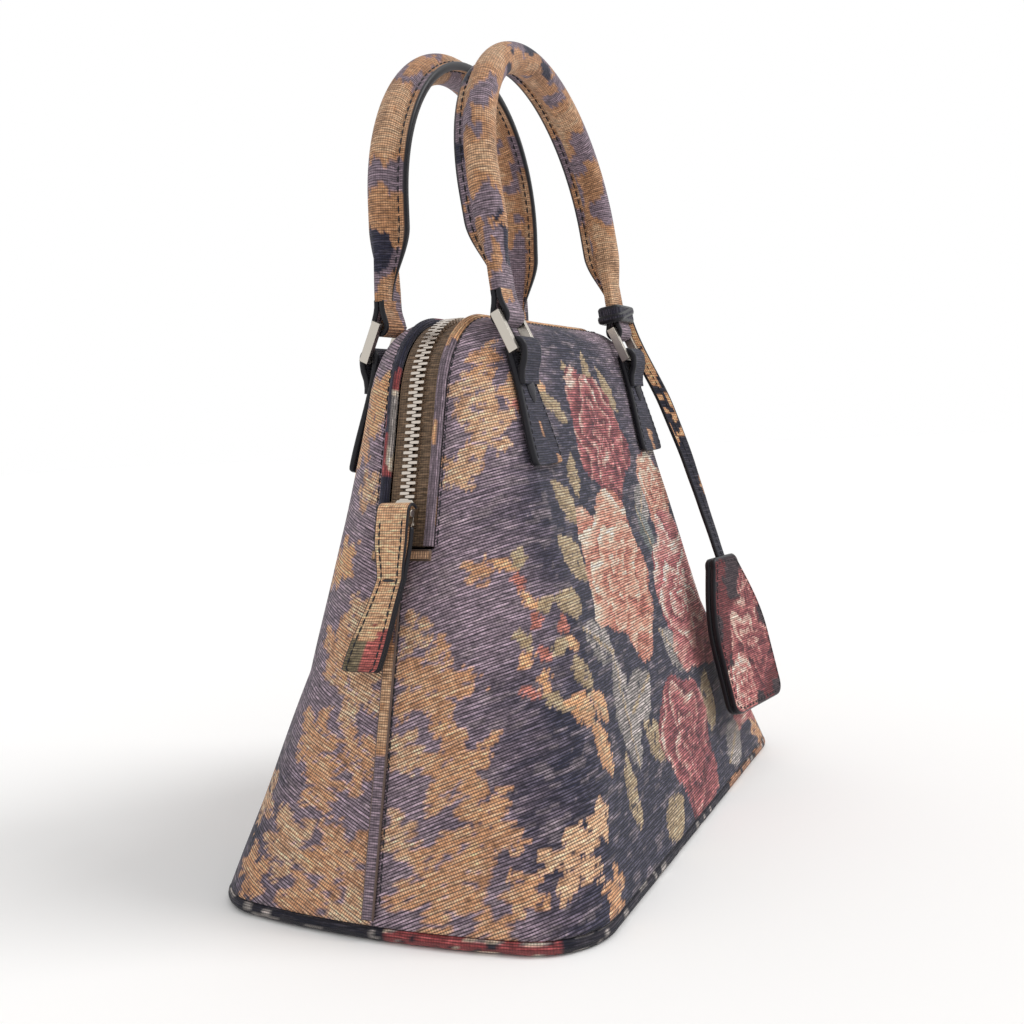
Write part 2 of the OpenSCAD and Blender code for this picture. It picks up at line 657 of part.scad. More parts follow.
// The strap twists from facing along the bag to lying in the tag's plane
strap_turn_top = 66;
tag_turn = 11;
tag_tilt = 13;
module tag_strap() {
  m = len(strap_route) - 1;
  w = tag_strap_w / 2;
  t = tag_strap_t / 2;
  color(edge_black) sweep([for (j = [0 : m])
    let (a = -strap_turn_top + (strap_turn_top - tag_turn) * ease(j / m))
    [for (q = [[-w, -t], [w, -t], [w, t], [-w, t]])
      strap_route[j] + [q[0] * cos(a) - q[1] * sin(a), q[0] * sin(a) + q[1] * cos(a), 0]]]);
}
module on_tag() {
  translate(tag_top) rotate([0, 0, -tag_turn]) rotate([-tag_tilt, 0, 0]) children();
}
// Outline of the tag: a rounded bell with a flat foot
tag_neck_w = 26;
tag_top_r = 4;
tag_foot_r = 6;
tag_flare = 38;
module tag_outline() {
  w = tag_w / 2;
  neck = tag_neck_w / 2;
  n = outline_steps;
  top = tag_top_r;
  foot = tag_foot_r;
  flare = [for (i = [0 : n]) [neck + (w - neck) * sin(90 * i / n), -top - tag_flare * i / n]];
  polygon(concat(
    arc_points([neck - top, -top], top, 0, 90, 1, n),
    arc_points([top - neck, -top], top, 90, 180, 0, n - 1),
    [for (p = flare) [-p[0], p[1]]],
    arc_points([foot - w, foot - tag_len], foot, 180, 270, 0, n),
    arc_points([w - foot, foot - tag_len], foot, 270, 360, 0, n),
    reverse(flare)
  ));
}
module leaf() { rotate([90, 0, 0]) linear_extrude(leaf_t) tag_outline(); }
leaf_gap = 0.05;
module tag_front_leaf() { color(rose_cloth) on_tag() translate([0, -leaf_gap, 0]) leaf(); }
module tag_back_leaf() { color(rose_cloth) on_tag() translate([0, leaf_t + leaf_gap, 0]) leaf(); }

front_panel();
back_panel();
base_panel();
base_board();
base_piping();
left_side_welt();
right_side_welt();
front_zip_piping();
back_zip_piping();
left_zip_end();
right_zip_end();
front_zip_tape();
back_zip_tape();
front_zip_teeth();
back_zip_teeth();
zip_slider();
pull_pin();
zip_pull();
front_left_tab();
front_right_tab();
back_left_tab();
back_right_tab();
tab_tongues();
front_left_ring();
front_right_ring();
back_left_ring();
back_right_ring();
front_left_strap();
front_right_strap();
back_left_strap();
back_right_strap();
front_handle();
back_handle();
tag_knot();
tag_strap();
tag_front_leaf();
tag_back_leaf();
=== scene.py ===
"""Looks of the tapestry bag: woven floral panels, rolled handles, stitched straps, metal zip and rings."""

import math

import bpy
import numpy as np
from mathutils import Matrix, Vector


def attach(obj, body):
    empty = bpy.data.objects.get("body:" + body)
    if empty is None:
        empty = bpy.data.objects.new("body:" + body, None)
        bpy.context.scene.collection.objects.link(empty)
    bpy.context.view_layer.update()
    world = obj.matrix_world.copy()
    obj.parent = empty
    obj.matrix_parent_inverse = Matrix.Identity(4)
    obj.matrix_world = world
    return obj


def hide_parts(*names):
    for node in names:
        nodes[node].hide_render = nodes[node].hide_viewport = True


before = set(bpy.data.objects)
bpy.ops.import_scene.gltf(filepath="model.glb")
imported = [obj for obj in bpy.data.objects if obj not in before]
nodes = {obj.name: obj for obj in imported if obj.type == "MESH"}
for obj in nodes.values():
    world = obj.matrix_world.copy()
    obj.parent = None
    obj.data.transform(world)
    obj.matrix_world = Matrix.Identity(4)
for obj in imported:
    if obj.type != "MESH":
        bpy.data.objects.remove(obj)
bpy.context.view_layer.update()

MM = 0.001
FULL_TURN = 2 * math.pi
X_AXIS = np.array([1.0, 0.0, 0.0])
Y_AXIS = np.array([0.0, 1.0, 0.0])
Z_AXIS = np.array([0.0, 0.0, 1.0])
HALF_TURN = np.array([-1, -1, 1])

# Sizes in millimetres, as the solids have them: the body
BASE_LEN = 300.0
BASE_DEPTH = 160.0
BODY_H = 220.0
END_LEAN = math.radians(16.3)
FACE_LEAN = math.radians(14.3)
SHOULDER_R = 40.0
RIM_R = 16.0
CORNER_R = 28.0
CORNER_GROWTH = 0.22
CORNER_MARGIN = 0.2
CORNER_FLAT = 0.5
END_ARC = math.radians(10)
PANEL_T = 2.4
BASE_PIPING_D = 5.0
SEAT = 0.3
SEAM_GAP = 0.15

# The zip, its trim and its puller
ZIP_START = 133.0
ZIP_FOOT = 134.0
SLOT_HALF = 12.5
ZIP_PIPING_D = 4.0
ZIP_PIPING_SINK = 0.4
TAPE_DEPTH = 1.2
TAPE_T = 0.9
TAPE_GAP = 0.6
WELT_W = 5.0
WELT_T = 1.2
ZIP_END_H = 4.5
SLIDER_S = 11.0
PIN_OUT = 6.55
PULL_LEN = 58.0
PULL_T = 3.6
PULL_FRONT_T = 1.25
PULL_BACK_T = 2.2
PULL_LOOP_R = 3.43
PULL_WAIST = -24
PULL_WAIST_W = 11
PULL_TOP_FLARE = 2.5
PULL_TAIL_FLARE = 4.5
PULL_SKEW = 9

# Tabs, rings and handles
RING_HALF_PITCH = 66.0
RING_Z = 206.0
RING_H = 14.0
RING_LEAN = math.radians(25)
BAR_R = 1.5
LOOP_PLAY = 0.3
TAB_T = 2.8
TAB_LEN = 46.0
TAB_W = 27.0
STRAP_W = 16.0
STRAP_END_T = 2.2
HANDLE_H = 123.0
HANDLE_D = 13.0
FLANGE_L = 4.6
FLANGE_T = 3.6
FLAT_RUN = 30.0
END_T = 4.4
END_H = 10.0
FRONT_REACH = 11.0
BACK_REACH = 24.0

# The hanging tag, its strap and its knot
TAG_W = 54.0
TAG_LEN = 74.0
LEAF_T = 2.9
TAG_NECK_W = 26.0
TAG_TOP_R = 4.0
TAG_FOOT_R = 6.0
TAG_FLARE = 38.0
TAG_TOP = np.array([76.0, -70.0, 107.0])
TAG_TURN = math.radians(11)
TAG_TILT = math.radians(13)
STRAP_ROUTE = np.array([
    [80.5, -25, 227], [80.5, -27, 220], [80, -31, 211], [80, -35.5, 202], [80, -40, 193], [80, -44, 185],
    [79, -47, 177], [79, -50, 169], [79, -53, 161], [78, -56, 153], [78, -58, 145], [78, -61, 137],
    [77, -63, 129], [77, -66, 121], [76, -68, 114], [76, -70, 107.5],
])
STRAP_TURN_TOP = math.radians(66)
TAG_STRAP_W = 7.5
TAG_STRAP_T = 2.0
STRAP_TUCK = 4.0
KNOT_T = 3.4
KNOT_H = 9.0
KNOT_Z = 3.8

# Stitches: pitch, length and radius of the thread
STITCH_RINGS = 5
STITCH_SIDES = 6
ZIP_STITCH = (3.6, 2.6, 0.32)
SEAM_STITCH = (3.8, 2.8, 0.34)
TAB_STITCH = (3.2, 2.3, 0.3)
HANDLE_STITCH = (4.0, 2.9, 0.38)
PULL_STITCH = (3.0, 2.6, 0.36)
# The puller's slit is one short dark bar of the same make: painted shade where the opening lies in shadow
PULL_SLIT_SHADE = (9, 5.2, 0.6)
TAG_STRAP_STITCH = (3.0, 2.2, 0.28)
TAG_STITCH = (3.4, 2.4, 0.32)

# Colours of the yarns and trims, as sRGB
NAVY = "#252639"
MAUVE = "#8b7a85"
GREY = "#a69799"
TAN = "#f2b281"
GOLD = "#fbc599"
DARK_TAN = "#a6785b"
SAGE = "#9d9691"
GREEN = "#6f7674"
OLIVE = "#b79f7c"
BLACK = "#131219"
CREAM = "#f5e0c8"
RED = "#964546"
TAPE_BROWN = "#77624e"
# Roses, from the roots of their petals to the lips
RED_ROSE = ("#491a23", "#7f3b40", "#aa615f", "#e4b9a8")
SALMON_ROSE = ("#8e4c3e", "#c9836e", "#e7ac92", "#f7e2ca")
PINK_ROSE = ("#713338", "#a95b5c", "#d29085", "#f7ddca")

# The studio and the photograph's viewpoint
FLOOR_HALF = 6.0
FLOOR_Z = -0.0002
WORLD_LIGHT = 0.74
SUN_ENERGY = 1.45
SUN_ANGLE = math.radians(28)
SUN_DIRECTION = (-0.45, 1.0, -1.1)
CAMERA_AT = (-0.4888, -0.2166, 0.1776)
CAMERA_YAW = math.radians(24.47)
CAMERA_PITCH = math.radians(4.34)
CAMERA_ROLL = math.radians(-2.95)
CAMERA_SENSOR = 36.0
CAMERA_LENS = 41.5


def linear(colour):
    """Linear RGB of an sRGB hex colour."""
    rgb = np.array([int(colour[i:i + 2], 16) for i in (1, 3, 5)]) / 255
    return np.where(rgb < 0.04045, rgb / 12.92, ((rgb + 0.055) / 1.055) ** 2.4)


def edge_paint(colour):
    """Colour of a painted edge: its alpha of 0 keeps the weave off it."""
    return np.append(linear(colour), 0.0)


def covered(colour, count):
    """The same linear colour at every one of a number of points."""
    return np.broadcast_to(colour, (count, 3)).copy()


def with_alpha(rgb):
    """Colours with an alpha of 1, which lets the weave show on them."""
    return np.concatenate([rgb, np.ones((len(rgb), 1))], axis=1)


def smooth(t):
    """Soft step from 0 to 1."""
    t = np.clip(t, 0, 1)
    return t * t * (3 - 2 * t)


def unit(v):
    """Vectors scaled to a length of 1."""
    return v / np.maximum(np.linalg.norm(v, axis=-1, keepdims=True), 1e-9)


def facing(points, back):
    """Points or directions made for the front, turned to the back where back is set."""
    return points * HALF_TURN if back else points


def noise(x, y, seed, size):
    """Smooth value noise from 0 to 1 on a lattice of the given size in millimetres."""
    lattice = np.random.default_rng(seed).random((64, 64))
    x, y = np.asarray(x) / size, np.asarray(y) / size
    i, j = np.floor(x).astype(int), np.floor(y).astype(int)
    fx, fy = smooth(x - i), smooth(y - j)

    def at(a, b):
        return lattice[a % 64, b % 64]

    low = at(i, j) * (1 - fx) + at(i + 1, j) * fx
    high = at(i, j + 1) * (1 - fx) + at(i + 1, j + 1) * fx
    return low * (1 - fy) + high * fy


def fractal(x, y, seed, size):
    """Noise with two finer layers on it, from 0 to 1."""
    total = noise(x, y, seed, size)
    total = total + 0.5 * noise(x, y, seed + 1, size / 2)
    total = total + 0.25 * noise(x, y, seed + 2, size / 4)
    return total / 1.75


# Materials

def node_tree(name):
    """A new material, its node tree and its shader."""
    material = bpy.data.materials.new(name)
    material.use_nodes = True
    return material, material.node_tree, material.node_tree.nodes["Principled BSDF"]


def woven(name, rib=0.00106, streak=0.85, gap=0.95, warp=0.4, bump=0.7, light="#c2b4ba"):
    """Ribbed tapestry cloth: yarn colours from the mesh, uneven weft threads over them and ribs as relief.

    rib is the ribs' pitch in metres, streak the strength of the light threads, light the colour mixed into
    them, gap and warp the strength of the painted shade between the ribs and between the threads that cross
    them, and bump the strength of the relief.
    """
    material, tree, shader = node_tree(name)
    new, link = tree.nodes.new, tree.links.new
    yarn_node = new("ShaderNodeVertexColor")
    yarn_node.layer_name = "Yarn"
    yarn, cloth = yarn_node.outputs["Color"], yarn_node.outputs["Alpha"]
    uv = new("ShaderNodeUVMap")
    uv.uv_map = "Weave"

    def mapped(scale):
        mapping = new("ShaderNodeMapping")
        mapping.inputs["Scale"].default_value = scale
        link(uv.outputs["UV"], mapping.inputs["Vector"])
        return mapping.outputs["Vector"]

    def noise_at(along, across, detail):
        """Noise with this many changes per metre along and across the ribs."""
        texture = new("ShaderNodeTexNoise")
        texture.inputs["Scale"].default_value = 1.0
        texture.inputs["Detail"].default_value = detail
        link(mapped((along, across, 1)), texture.inputs["Vector"])
        return texture.outputs["Fac"]

    def bands(direction, pitch, wander):
        """Sine bands of the given pitch in metres, which wander a little."""
        texture = new("ShaderNodeTexWave")
        texture.wave_type = "BANDS"
        texture.bands_direction = direction
        texture.wave_profile = "SIN"
        settings = {"Scale": 1.0, "Distortion": wander, "Detail": 2.0, "Detail Scale": 1.5}
        for setting, value in settings.items():
            texture.inputs[setting].default_value = value
        scale = math.pi / 10 / pitch
        slow = scale * 0.08
        link(mapped((slow, scale, 1) if direction == "Y" else (scale, slow, 1)), texture.inputs["Vector"])
        return texture.outputs["Fac"]

    def fill(socket, value):
        if isinstance(value, bpy.types.NodeSocket):
            link(value, socket)
        else:
            socket.default_value = value

    def ramp(source, low, high, strength=1.0):
        node = new("ShaderNodeMapRange")
        node.inputs["From Min"].default_value = low
        node.inputs["From Max"].default_value = high
        node.inputs["To Max"].default_value = strength
        link(source, node.inputs["Value"])
        return node.outputs["Result"]

    def mix(kind, factor, a, b):
        node = new("ShaderNodeMix")
        node.data_type = "RGBA"
        node.blend_type = kind
        node.clamp_result = True
        for socket, value in (("Factor_Float", factor), ("A_Color", a), ("B_Color", b)):
            fill(next(i for i in node.inputs if i.identifier == socket), value)
        return next(o for o in node.outputs if o.identifier == "Result_Color")

    def arithmetic(kind, a, b):
        node = new("ShaderNodeMath")
        node.operation = kind
        fill(node.inputs[0], a)
        fill(node.inputs[1], b)
        return node.outputs["Value"]

    ribs = bands("Y", rib, 3.2)
    ends = bands("X", rib * 1.05, 1.2)
    threads = noise_at(110, 0.9 / rib, 3.0)
    slubs = noise_at(420, 0.9 / rib, 2.0)
    # Tan yarns have far more green than blue, and get lighter without losing their hue
    channels = new("ShaderNodeSeparateColor")
    link(yarn, channels.inputs["Color"])
    tan = ramp(arithmetic("SUBTRACT", channels.outputs["Green"], channels.outputs["Blue"]), 0.07, 0.16)
    gain = mix("MIX", tan, (0.733, 0.7, 0.717, 1), (0.4, 0.5, 0.55, 1))
    bright = mix("MULTIPLY", 1.0, yarn, gain)
    bright = mix("MULTIPLY", 1.0, bright, (3.0, 3.0, 3.0, 1))
    bright = mix("MIX", 0.12, bright, (*linear(light), 1))
    colour = mix("MIX", ramp(threads, 0.47, 0.58, streak), yarn, bright)
    colour = mix("MULTIPLY", 0.9, colour, arithmetic("ADD", -0.3, arithmetic("MULTIPLY", slubs, 2.7)))
    # Painted shade between the warp ends, strongest on tan, and between the ribs
    shadow = mix("MIX", tan, (*linear("#17151d"), 1), (*linear("#5b463a"), 1))
    warp_shade_gain = arithmetic("ADD", 0.8, arithmetic("MULTIPLY", tan, 0.7))
    colour = mix("MIX", arithmetic("MULTIPLY", ramp(ends, 0.45, 0.0, warp), warp_shade_gain), colour, shadow)
    uneven = arithmetic("MULTIPLY", ramp(ribs, 0.55, 0.0, gap), arithmetic("ADD", 0.45, threads))
    colour = mix("MIX", uneven, colour, shadow)
    link(mix("MIX", cloth, yarn, colour), shader.inputs["Base Color"])
    link(ramp(cloth, -1.0, 1.0, 0.8), shader.inputs["Roughness"])
    shader.inputs["Sheen Weight"].default_value = 0.1
    shader.inputs["Specular IOR Level"].default_value = 0.25
    relief = new("ShaderNodeBump")
    link(arithmetic("MULTIPLY", cloth, bump), relief.inputs["Strength"])
    relief.inputs["Distance"].default_value = 0.0004
    link(arithmetic("ADD", ribs, arithmetic("MULTIPLY", slubs, 0.8)), relief.inputs["Height"])
    link(relief.outputs["Normal"], shader.inputs["Normal"])
    return material


def plain(name, colour, roughness, metallic=0.0, edge=0.0, grain=0.0):
    """One colour, with edges rounded by a radius or else a grain of a given size, both in metres."""
    material, tree, shader = node_tree(name)
    shader.inputs["Base Color"].default_value = (*linear(colour), 1)
    shader.inputs["Roughness"].default_value = roughness
    shader.inputs["Metallic"].default_value = metallic
    if edge:
        bevel = tree.nodes.new("ShaderNodeBevel")
        bevel.samples = 6
        bevel.inputs["Radius"].default_value = edge
        tree.links.new(bevel.outputs["Normal"], shader.inputs["Normal"])
    elif grain:
        texture = tree.nodes.new("ShaderNodeTexNoise")
        texture.inputs["Scale"].default_value = 1 / grain
        relief = tree.nodes.new("ShaderNodeBump")
        relief.inputs["Strength"].default_value = 0.25
        relief.inputs["Distance"].default_value = grain * 0.3
        tree.links.new(texture.outputs["Fac"], relief.inputs["Height"])
        tree.links.new(relief.outputs["Normal"], shader.inputs["Normal"])
    return material


TAPESTRY = woven("tapestry")
TRIM = woven("printed strap", rib=0.00095, streak=0.55, gap=0.8, warp=0.35, bump=0.6, light="#b8a89e")
ZIP_TAPE = woven("zip tape", rib=0.001, streak=0.3, gap=0.5, light="#94806a")
NICKEL = plain("satin nickel", "#c4bdb3", 0.3, 1.0, edge=0.0004)
TEETH = plain("zip teeth", "#cdc3b8", 0.3, 1.0, edge=0.0002)
THREAD = plain("black thread", "#1a1920", 0.7)
BOARD = plain("board", "#3a332d", 0.8)
LEATHER = plain("black leather", "#1d1c24", 0.5, grain=0.0007)
BASE_CLOTH = plain("base cloth", "#2c2930", 0.85, grain=0.0012)


# Mesh helpers

def new_mesh(name, points, faces, material, body, colours=None, uv=None):
    """A smooth mesh in the part's frame from points in millimetres, riding on a body."""
    mesh = bpy.data.meshes.new(name)
    mesh.from_pydata((np.asarray(points, float) * MM).tolist(), [], [list(map(int, f)) for f in faces])
    mesh.update()
    if colours is not None:
        layer = mesh.color_attributes.new("Yarn", "FLOAT_COLOR", "POINT")
        rgba = np.ones((len(colours), 4))
        rgba[:, :colours.shape[1]] = colours
        layer.data.foreach_set("color", rgba.astype(np.float32).ravel())
    if uv is not None:
        layer = mesh.uv_layers.new(name="Weave")
        index = np.zeros(len(mesh.loops), np.int32)
        mesh.loops.foreach_get("vertex_index", index)
        layer.data.foreach_set("uv", (np.asarray(uv)[index] * MM).astype(np.float32).ravel())
    mesh.polygons.foreach_set("use_smooth", np.ones(len(mesh.polygons), bool))
    mesh.materials.append(material)
    piece = bpy.data.objects.new(name, mesh)
    bpy.context.scene.collection.objects.link(piece)
    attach(piece, body)
    return piece


def grid_faces(rows, cols, wrap=False):
    """Quads of a grid of points, rows by cols, closed across the columns where wrap is set."""
    i, j = np.meshgrid(np.arange(rows - 1), np.arange(cols if wrap else cols - 1), indexing="ij")
    a = i * cols + j
    b = i * cols + (j + 1) % cols
    return np.stack([a, b, b + cols, a + cols], axis=-1).reshape(-1, 4)


def tube_faces(rings, sides, closed=False):
    """Quads of a tube, joined into a ring where closed is set, else with its two end caps."""
    faces = grid_faces(rings, sides, wrap=True).tolist()
    last = (rings - 1) * sides
    if closed:
        faces += [[last + k, last + (k + 1) % sides, (k + 1) % sides, k] for k in range(sides)]
    else:
        faces += [list(range(sides))[::-1], list(range(last, last + sides))]
    return faces


def path_lengths(points):
    """Length along a polyline at each of its points."""
    return np.concatenate([[0], np.cumsum(np.linalg.norm(np.diff(points, axis=0), axis=1))])


def points_at(t, s, points):
    """Points at the lengths t along a polyline whose own points are at the lengths s."""
    return np.stack([np.interp(t, s, points[:, k]) for k in range(points.shape[1])], axis=1)


def resample(points, step):
    """Points along a polyline at an even step."""
    s = path_lengths(points)
    count = max(2, int(round(s[-1] / step)) + 1)
    return points_at(np.linspace(0, s[-1], count), s, points)


def line_normals(points):
    """Directions to the right of a flat line."""
    step = np.gradient(points, axis=0)
    return unit(np.stack([step[:, 1], -step[:, 0]], axis=1))


def rounded_section(width, thickness, corner, sides=5):
    """Points of a rounded rectangle, width along the first axis, from the right side round."""
    points = []
    for cx, cy, start in ((1, 1, 0), (-1, 1, 90), (-1, -1, 180), (1, -1, 270)):
        for k in range(sides):
            a = math.radians(start + 90 * k / (sides - 1))
            x = cx * (width / 2 - corner) + corner * math.cos(a)
            y = cy * (thickness / 2 - corner) + corner * math.sin(a)
            points.append((x, y))
    return np.array(points)


def strap_section(width, thickness, corner, columns=15):
    """A rounded rectangle with points across both of its wide faces."""
    rounded = rounded_section(width, thickness, corner)
    face = np.linspace(1, -1, columns) * (width / 2 - corner - 0.2)
    top = np.stack([face, np.full(columns, thickness / 2)], axis=1)
    return np.concatenate([rounded[:5], top, rounded[5:15], -top, rounded[15:]])


def ribbon(name, path, across, outward, widths, thickness, body, paint, edge=BLACK, material=TRIM):
    """A strap along a path: printed on its faces, edge paint on its sides."""
    widths = np.broadcast_to(widths, (len(path),))
    across = np.broadcast_to(across, path.shape)
    outward = np.broadcast_to(outward, path.shape)
    corner = thickness * 0.42
    rings, colours, uv = [], [], []
    for k, length in enumerate(path_lengths(path)):
        outline = strap_section(widths[k], thickness, corner)
        x, y = outline.T
        s = np.full(len(outline), length)
        rings.append(path[k] + outline[:, :1] * across[k] + outline[:, 1:] * outward[k])
        rgba = with_alpha(paint(s, x))
        rgba[np.abs(x) > widths[k] / 2 - corner - 0.1] = edge_paint(edge)
        colours.append(rgba)
        uv.append(np.stack([x + y, s], axis=1))
    faces = tube_faces(len(path), len(rings[0]))
    return new_mesh(name, np.concatenate(rings), faces, material, body,
                    np.concatenate(colours), np.concatenate(uv))


def round_cord(name, path, out, across, radius, body, paint, closed=False, sides=14):
    """A round piping cord along a path, puckered a little."""
    a = np.linspace(0, FULL_TURN, sides, endpoint=False)
    s = path_lengths(path)
    pucker = 1 + 0.05 * (noise(s, s * 0, 17, 5) - 0.5)
    around = np.cos(a)[None, :, None] * out[:, None] + np.sin(a)[None, :, None] * across
    rings = path[:, None] + radius * pucker[:, None, None] * around
    s = np.repeat(s, sides)
    w = np.tile(a * radius, len(path))
    faces = tube_faces(len(path), sides, closed)
    return new_mesh(name, rings.reshape(-1, 3), faces, TRIM, body, paint(s, w), np.stack([s, w], axis=1))


def stitches(name, points, outward, body, stitch, material=THREAD):
    """A row of stitches along a line, each a little rounded thread that dips at both ends."""
    pitch, length, radius = stitch
    outward = np.broadcast_to(outward, points.shape)
    s = path_lengths(points)
    a = np.linspace(0, FULL_TURN, STITCH_SIDES, endpoint=False)
    swell = np.sqrt(np.clip(1 - (np.linspace(-1, 1, STITCH_RINGS) * 0.94) ** 2, 0, 1))[:, None]
    rise = radius * (swell * 0.7 - 0.35) + radius * swell * np.cos(a)
    spread = radius * swell * np.sin(a)
    verts, faces = [], []
    for k in range(max(1, int((s[-1] - length) / pitch) + 1)):
        t = k * pitch + np.linspace(0, length, STITCH_RINGS)
        line = points_at(t, s, points)
        out = unit(points_at(t, s, outward))
        side = unit(np.cross(out, unit(line[-1] - line[0])))
        rings = line[:, None] + rise[..., None] * out[:, None] + spread[..., None] * side[:, None]
        start = k * STITCH_RINGS * STITCH_SIDES
        verts.append(rings.reshape(-1, 3))
        faces += [[start + v for v in face] for face in tube_faces(STITCH_RINGS, STITCH_SIDES)]
    return new_mesh(name, np.concatenate(verts), faces, material, body)


# Body outline

SHOULDER_Z = BODY_H - SHOULDER_R
SHOULDER_X = BASE_LEN / 2 - SHOULDER_Z * math.tan(END_LEAN) - SHOULDER_R / math.cos(END_LEAN)
LINE_TOP_Z = SHOULDER_Z + SHOULDER_R * math.sin(END_LEAN)
RIM_Z = BODY_H - RIM_R
RIM_Y = BASE_DEPTH / 2 - RIM_Z * math.tan(FACE_LEAN) - RIM_R / math.cos(FACE_LEAN)
FACE_TOP_Z = RIM_Z + RIM_R * math.sin(FACE_LEAN)
RIM_TOP_Z = RIM_Z + math.sqrt(RIM_R ** 2 - (SLOT_HALF + 1 - RIM_Y) ** 2)


def half_length(z):
    """Half the body's length at height z: a leaning line below, the shoulder's arc above."""
    if z < LINE_TOP_Z:
        return BASE_LEN / 2 - z * math.tan(END_LEAN)
    return SHOULDER_X + math.sqrt(max(0, SHOULDER_R ** 2 - (z - SHOULDER_Z) ** 2))


def half_depth(z):
    """Half the body's depth at height z: a leaning line below, the rim's arc above."""
    if z < FACE_TOP_Z:
        return BASE_DEPTH / 2 - z * math.tan(FACE_LEAN)
    return RIM_Y + math.sqrt(max(0, RIM_R ** 2 - (z - RIM_Z) ** 2))


def quarter(z, w, end_n, corner_n):
    """Outline points from the end's edge at half width w to the start of the face, at height z."""
    r = min(CORNER_R + CORNER_GROWTH * z, half_depth(z) - SLOT_HALF - CORNER_MARGIN)
    half = half_depth(z) - r * (1 - math.sin(END_ARC))
    big = half / math.sin(END_ARC)
    centre = half_length(z) - big
    t = np.linspace(math.asin(w / big), END_ARC, end_n, endpoint=False)
    end = np.stack([centre + big * np.cos(t), big * np.sin(t)], axis=1)
    t = np.linspace(END_ARC, math.pi / 2, corner_n + 1)
    x0 = centre + (big - r) * math.cos(END_ARC)
    bend = np.stack([x0 + r * np.cos(t), half - r * math.sin(END_ARC) + r * np.sin(t)], axis=1)
    chord = np.linspace(bend[0], bend[-1], len(bend))
    flatness = CORNER_FLAT * z / BODY_H
    return np.concatenate([end, bend * (1 - flatness) + chord * flatness])


def section(z, w, end_n=24, corner_n=56, face_n=170):
    """Outline of the front panel at height z, from the left end round to the right end."""
    q = quarter(z, w, end_n, corner_n)
    x0, y0 = q[-1]
    face = np.stack([np.linspace(-x0, x0, face_n + 1)[1:-1], np.full(face_n - 1, y0)], axis=1)
    outline = np.concatenate([q * [-1, 1], face, q[::-1]])
    return np.concatenate([outline * [1, -1], np.full((len(outline), 1), z)], axis=1)


# Printed patterns: fields of colour on cloth coordinates in millimetres. On the panels, x runs along the
# cloth from its middle, z up it, e from the side seam, and row is the height of the thread that passes there.

# Roses on the front and the back: place, size, colours and seed
FRONT_ROSES = (
    (4, 174, 33, RED_ROSE, 12), (58, 146, 22, SALMON_ROSE, 13), (-20, 116, 39, SALMON_ROSE, 11),
    (56, 94, 42, PINK_ROSE, 14), (6, 34, 35, RED_ROSE, 15), (104, 140, 24, RED_ROSE, 16),
    (104, 46, 32, PINK_ROSE, 17),
)
BACK_ROSES = ((-30, 110, 34, PINK_ROSE, 31), (40, 70, 36, RED_ROSE, 32), (30, 150, 26, SALMON_ROSE, 33))
TAG_ROSES = ((4, -44, 25, RED_ROSE, 152), (-14, -64, 17, PINK_ROSE, 153), (16, -18, 12, RED_ROSE, 154))
# Leaves on the front: place, half length, half width, turn and colour
LEAVES = (
    (-56, 150, 13, 7, 2.3, OLIVE), (-40, 160, 10, 5, 1.3, OLIVE), (-64, 128, 14, 8, 2.4, OLIVE),
    (-78, 112, 10, 6, 2.9, OLIVE), (-62, 94, 14, 9, 2.6, SAGE), (-54, 64, 24, 11, 1.5, SAGE),
    (-34, 66, 17, 10, 0.3, SAGE), (-32, 46, 13, 8, 2.3, OLIVE), (-84, 86, 8, 5, 2.0, OLIVE),
    (-92, 74, 9, 6, 2.9, TAN), (-78, 72, 9, 5, 2.3, TAN), (-86, 58, 12, 6, 1.7, TAN),
    (-70, 36, 15, 6, 1.4, OLIVE), (-50, 196, 12, 4, 2.2, OLIVE), (-38, 188, 11, 4, 2.5, OLIVE),
    (-14, 200, 10, 5, 1.9, OLIVE), (10, 204, 11, 5, 1.5, OLIVE), (30, 196, 13, 5, 2.1, OLIVE),
    (34, 142, 13, 8, 0.8, SAGE), (28, 128, 14, 7, 1.9, GREEN), (20, 74, 16, 8, 2.3, SAGE),
    (48, 44, 15, 9, 1.1, OLIVE), (80, 172, 16, 8, 0.5, SAGE), (96, 88, 16, 8, 2.2, GREEN),
    (70, 18, 18, 9, 0.4, SAGE), (130, 96, 16, 8, 1.2, SAGE), (-34, 14, 15, 8, 0.3, OLIVE),
)
# Sprigs on the front, and the three leaves of each: turn, half length, half width and colour
SPRIGS = ((-96, 112), (-104, 98), (-88, 100), (-106, 82), (-100, 128), (-62, 178), (-52, 198), (-70, 192))
SPRIG_LEAVES = ((0.4, 5.5, 2.8, OLIVE), (2.2, 5.0, 2.4, TAN), (4.1, 4.0, 2.6, "#b67162"))
# Leaf clusters near the ends of each panel: distance from the side seam, height and size
FRONT_CLUSTERS = (
    (15, 88, 17), (7, 107, 8), (27, 60, 16), (8, 65, 9), (38, 40, 17), (25, 20, 19), (74, 28, 14),
    (86, 36, 8), (45, 6, 11), (6, 36, 9), (54, 20, 9), (30, 128, 6), (22, 196, 11), (30, 182, 13),
    (20, 166, 9), (26, 208, 8), (40, 196, 7), (96, 12, 9),
)
BACK_CLUSTERS = (
    (15, 87, 15), (12, 60, 13), (34, 66, 13), (28, 50, 12), (40, 28, 14), (16, 24, 17), (18, 112, 10),
    (27, 98, 14), (30, 8, 13), (58, 14, 11), (22, 196, 11), (30, 180, 13), (20, 160, 9), (40, 128, 9),
    (64, 40, 12), (8, 8, 11),
)
BACK_LEAVES = 26


def put(rgb, mask, colour):
    """Paints a mask with one colour, or with a field of colours."""
    rgb[mask] = linear(colour) if isinstance(colour, str) else colour[mask]


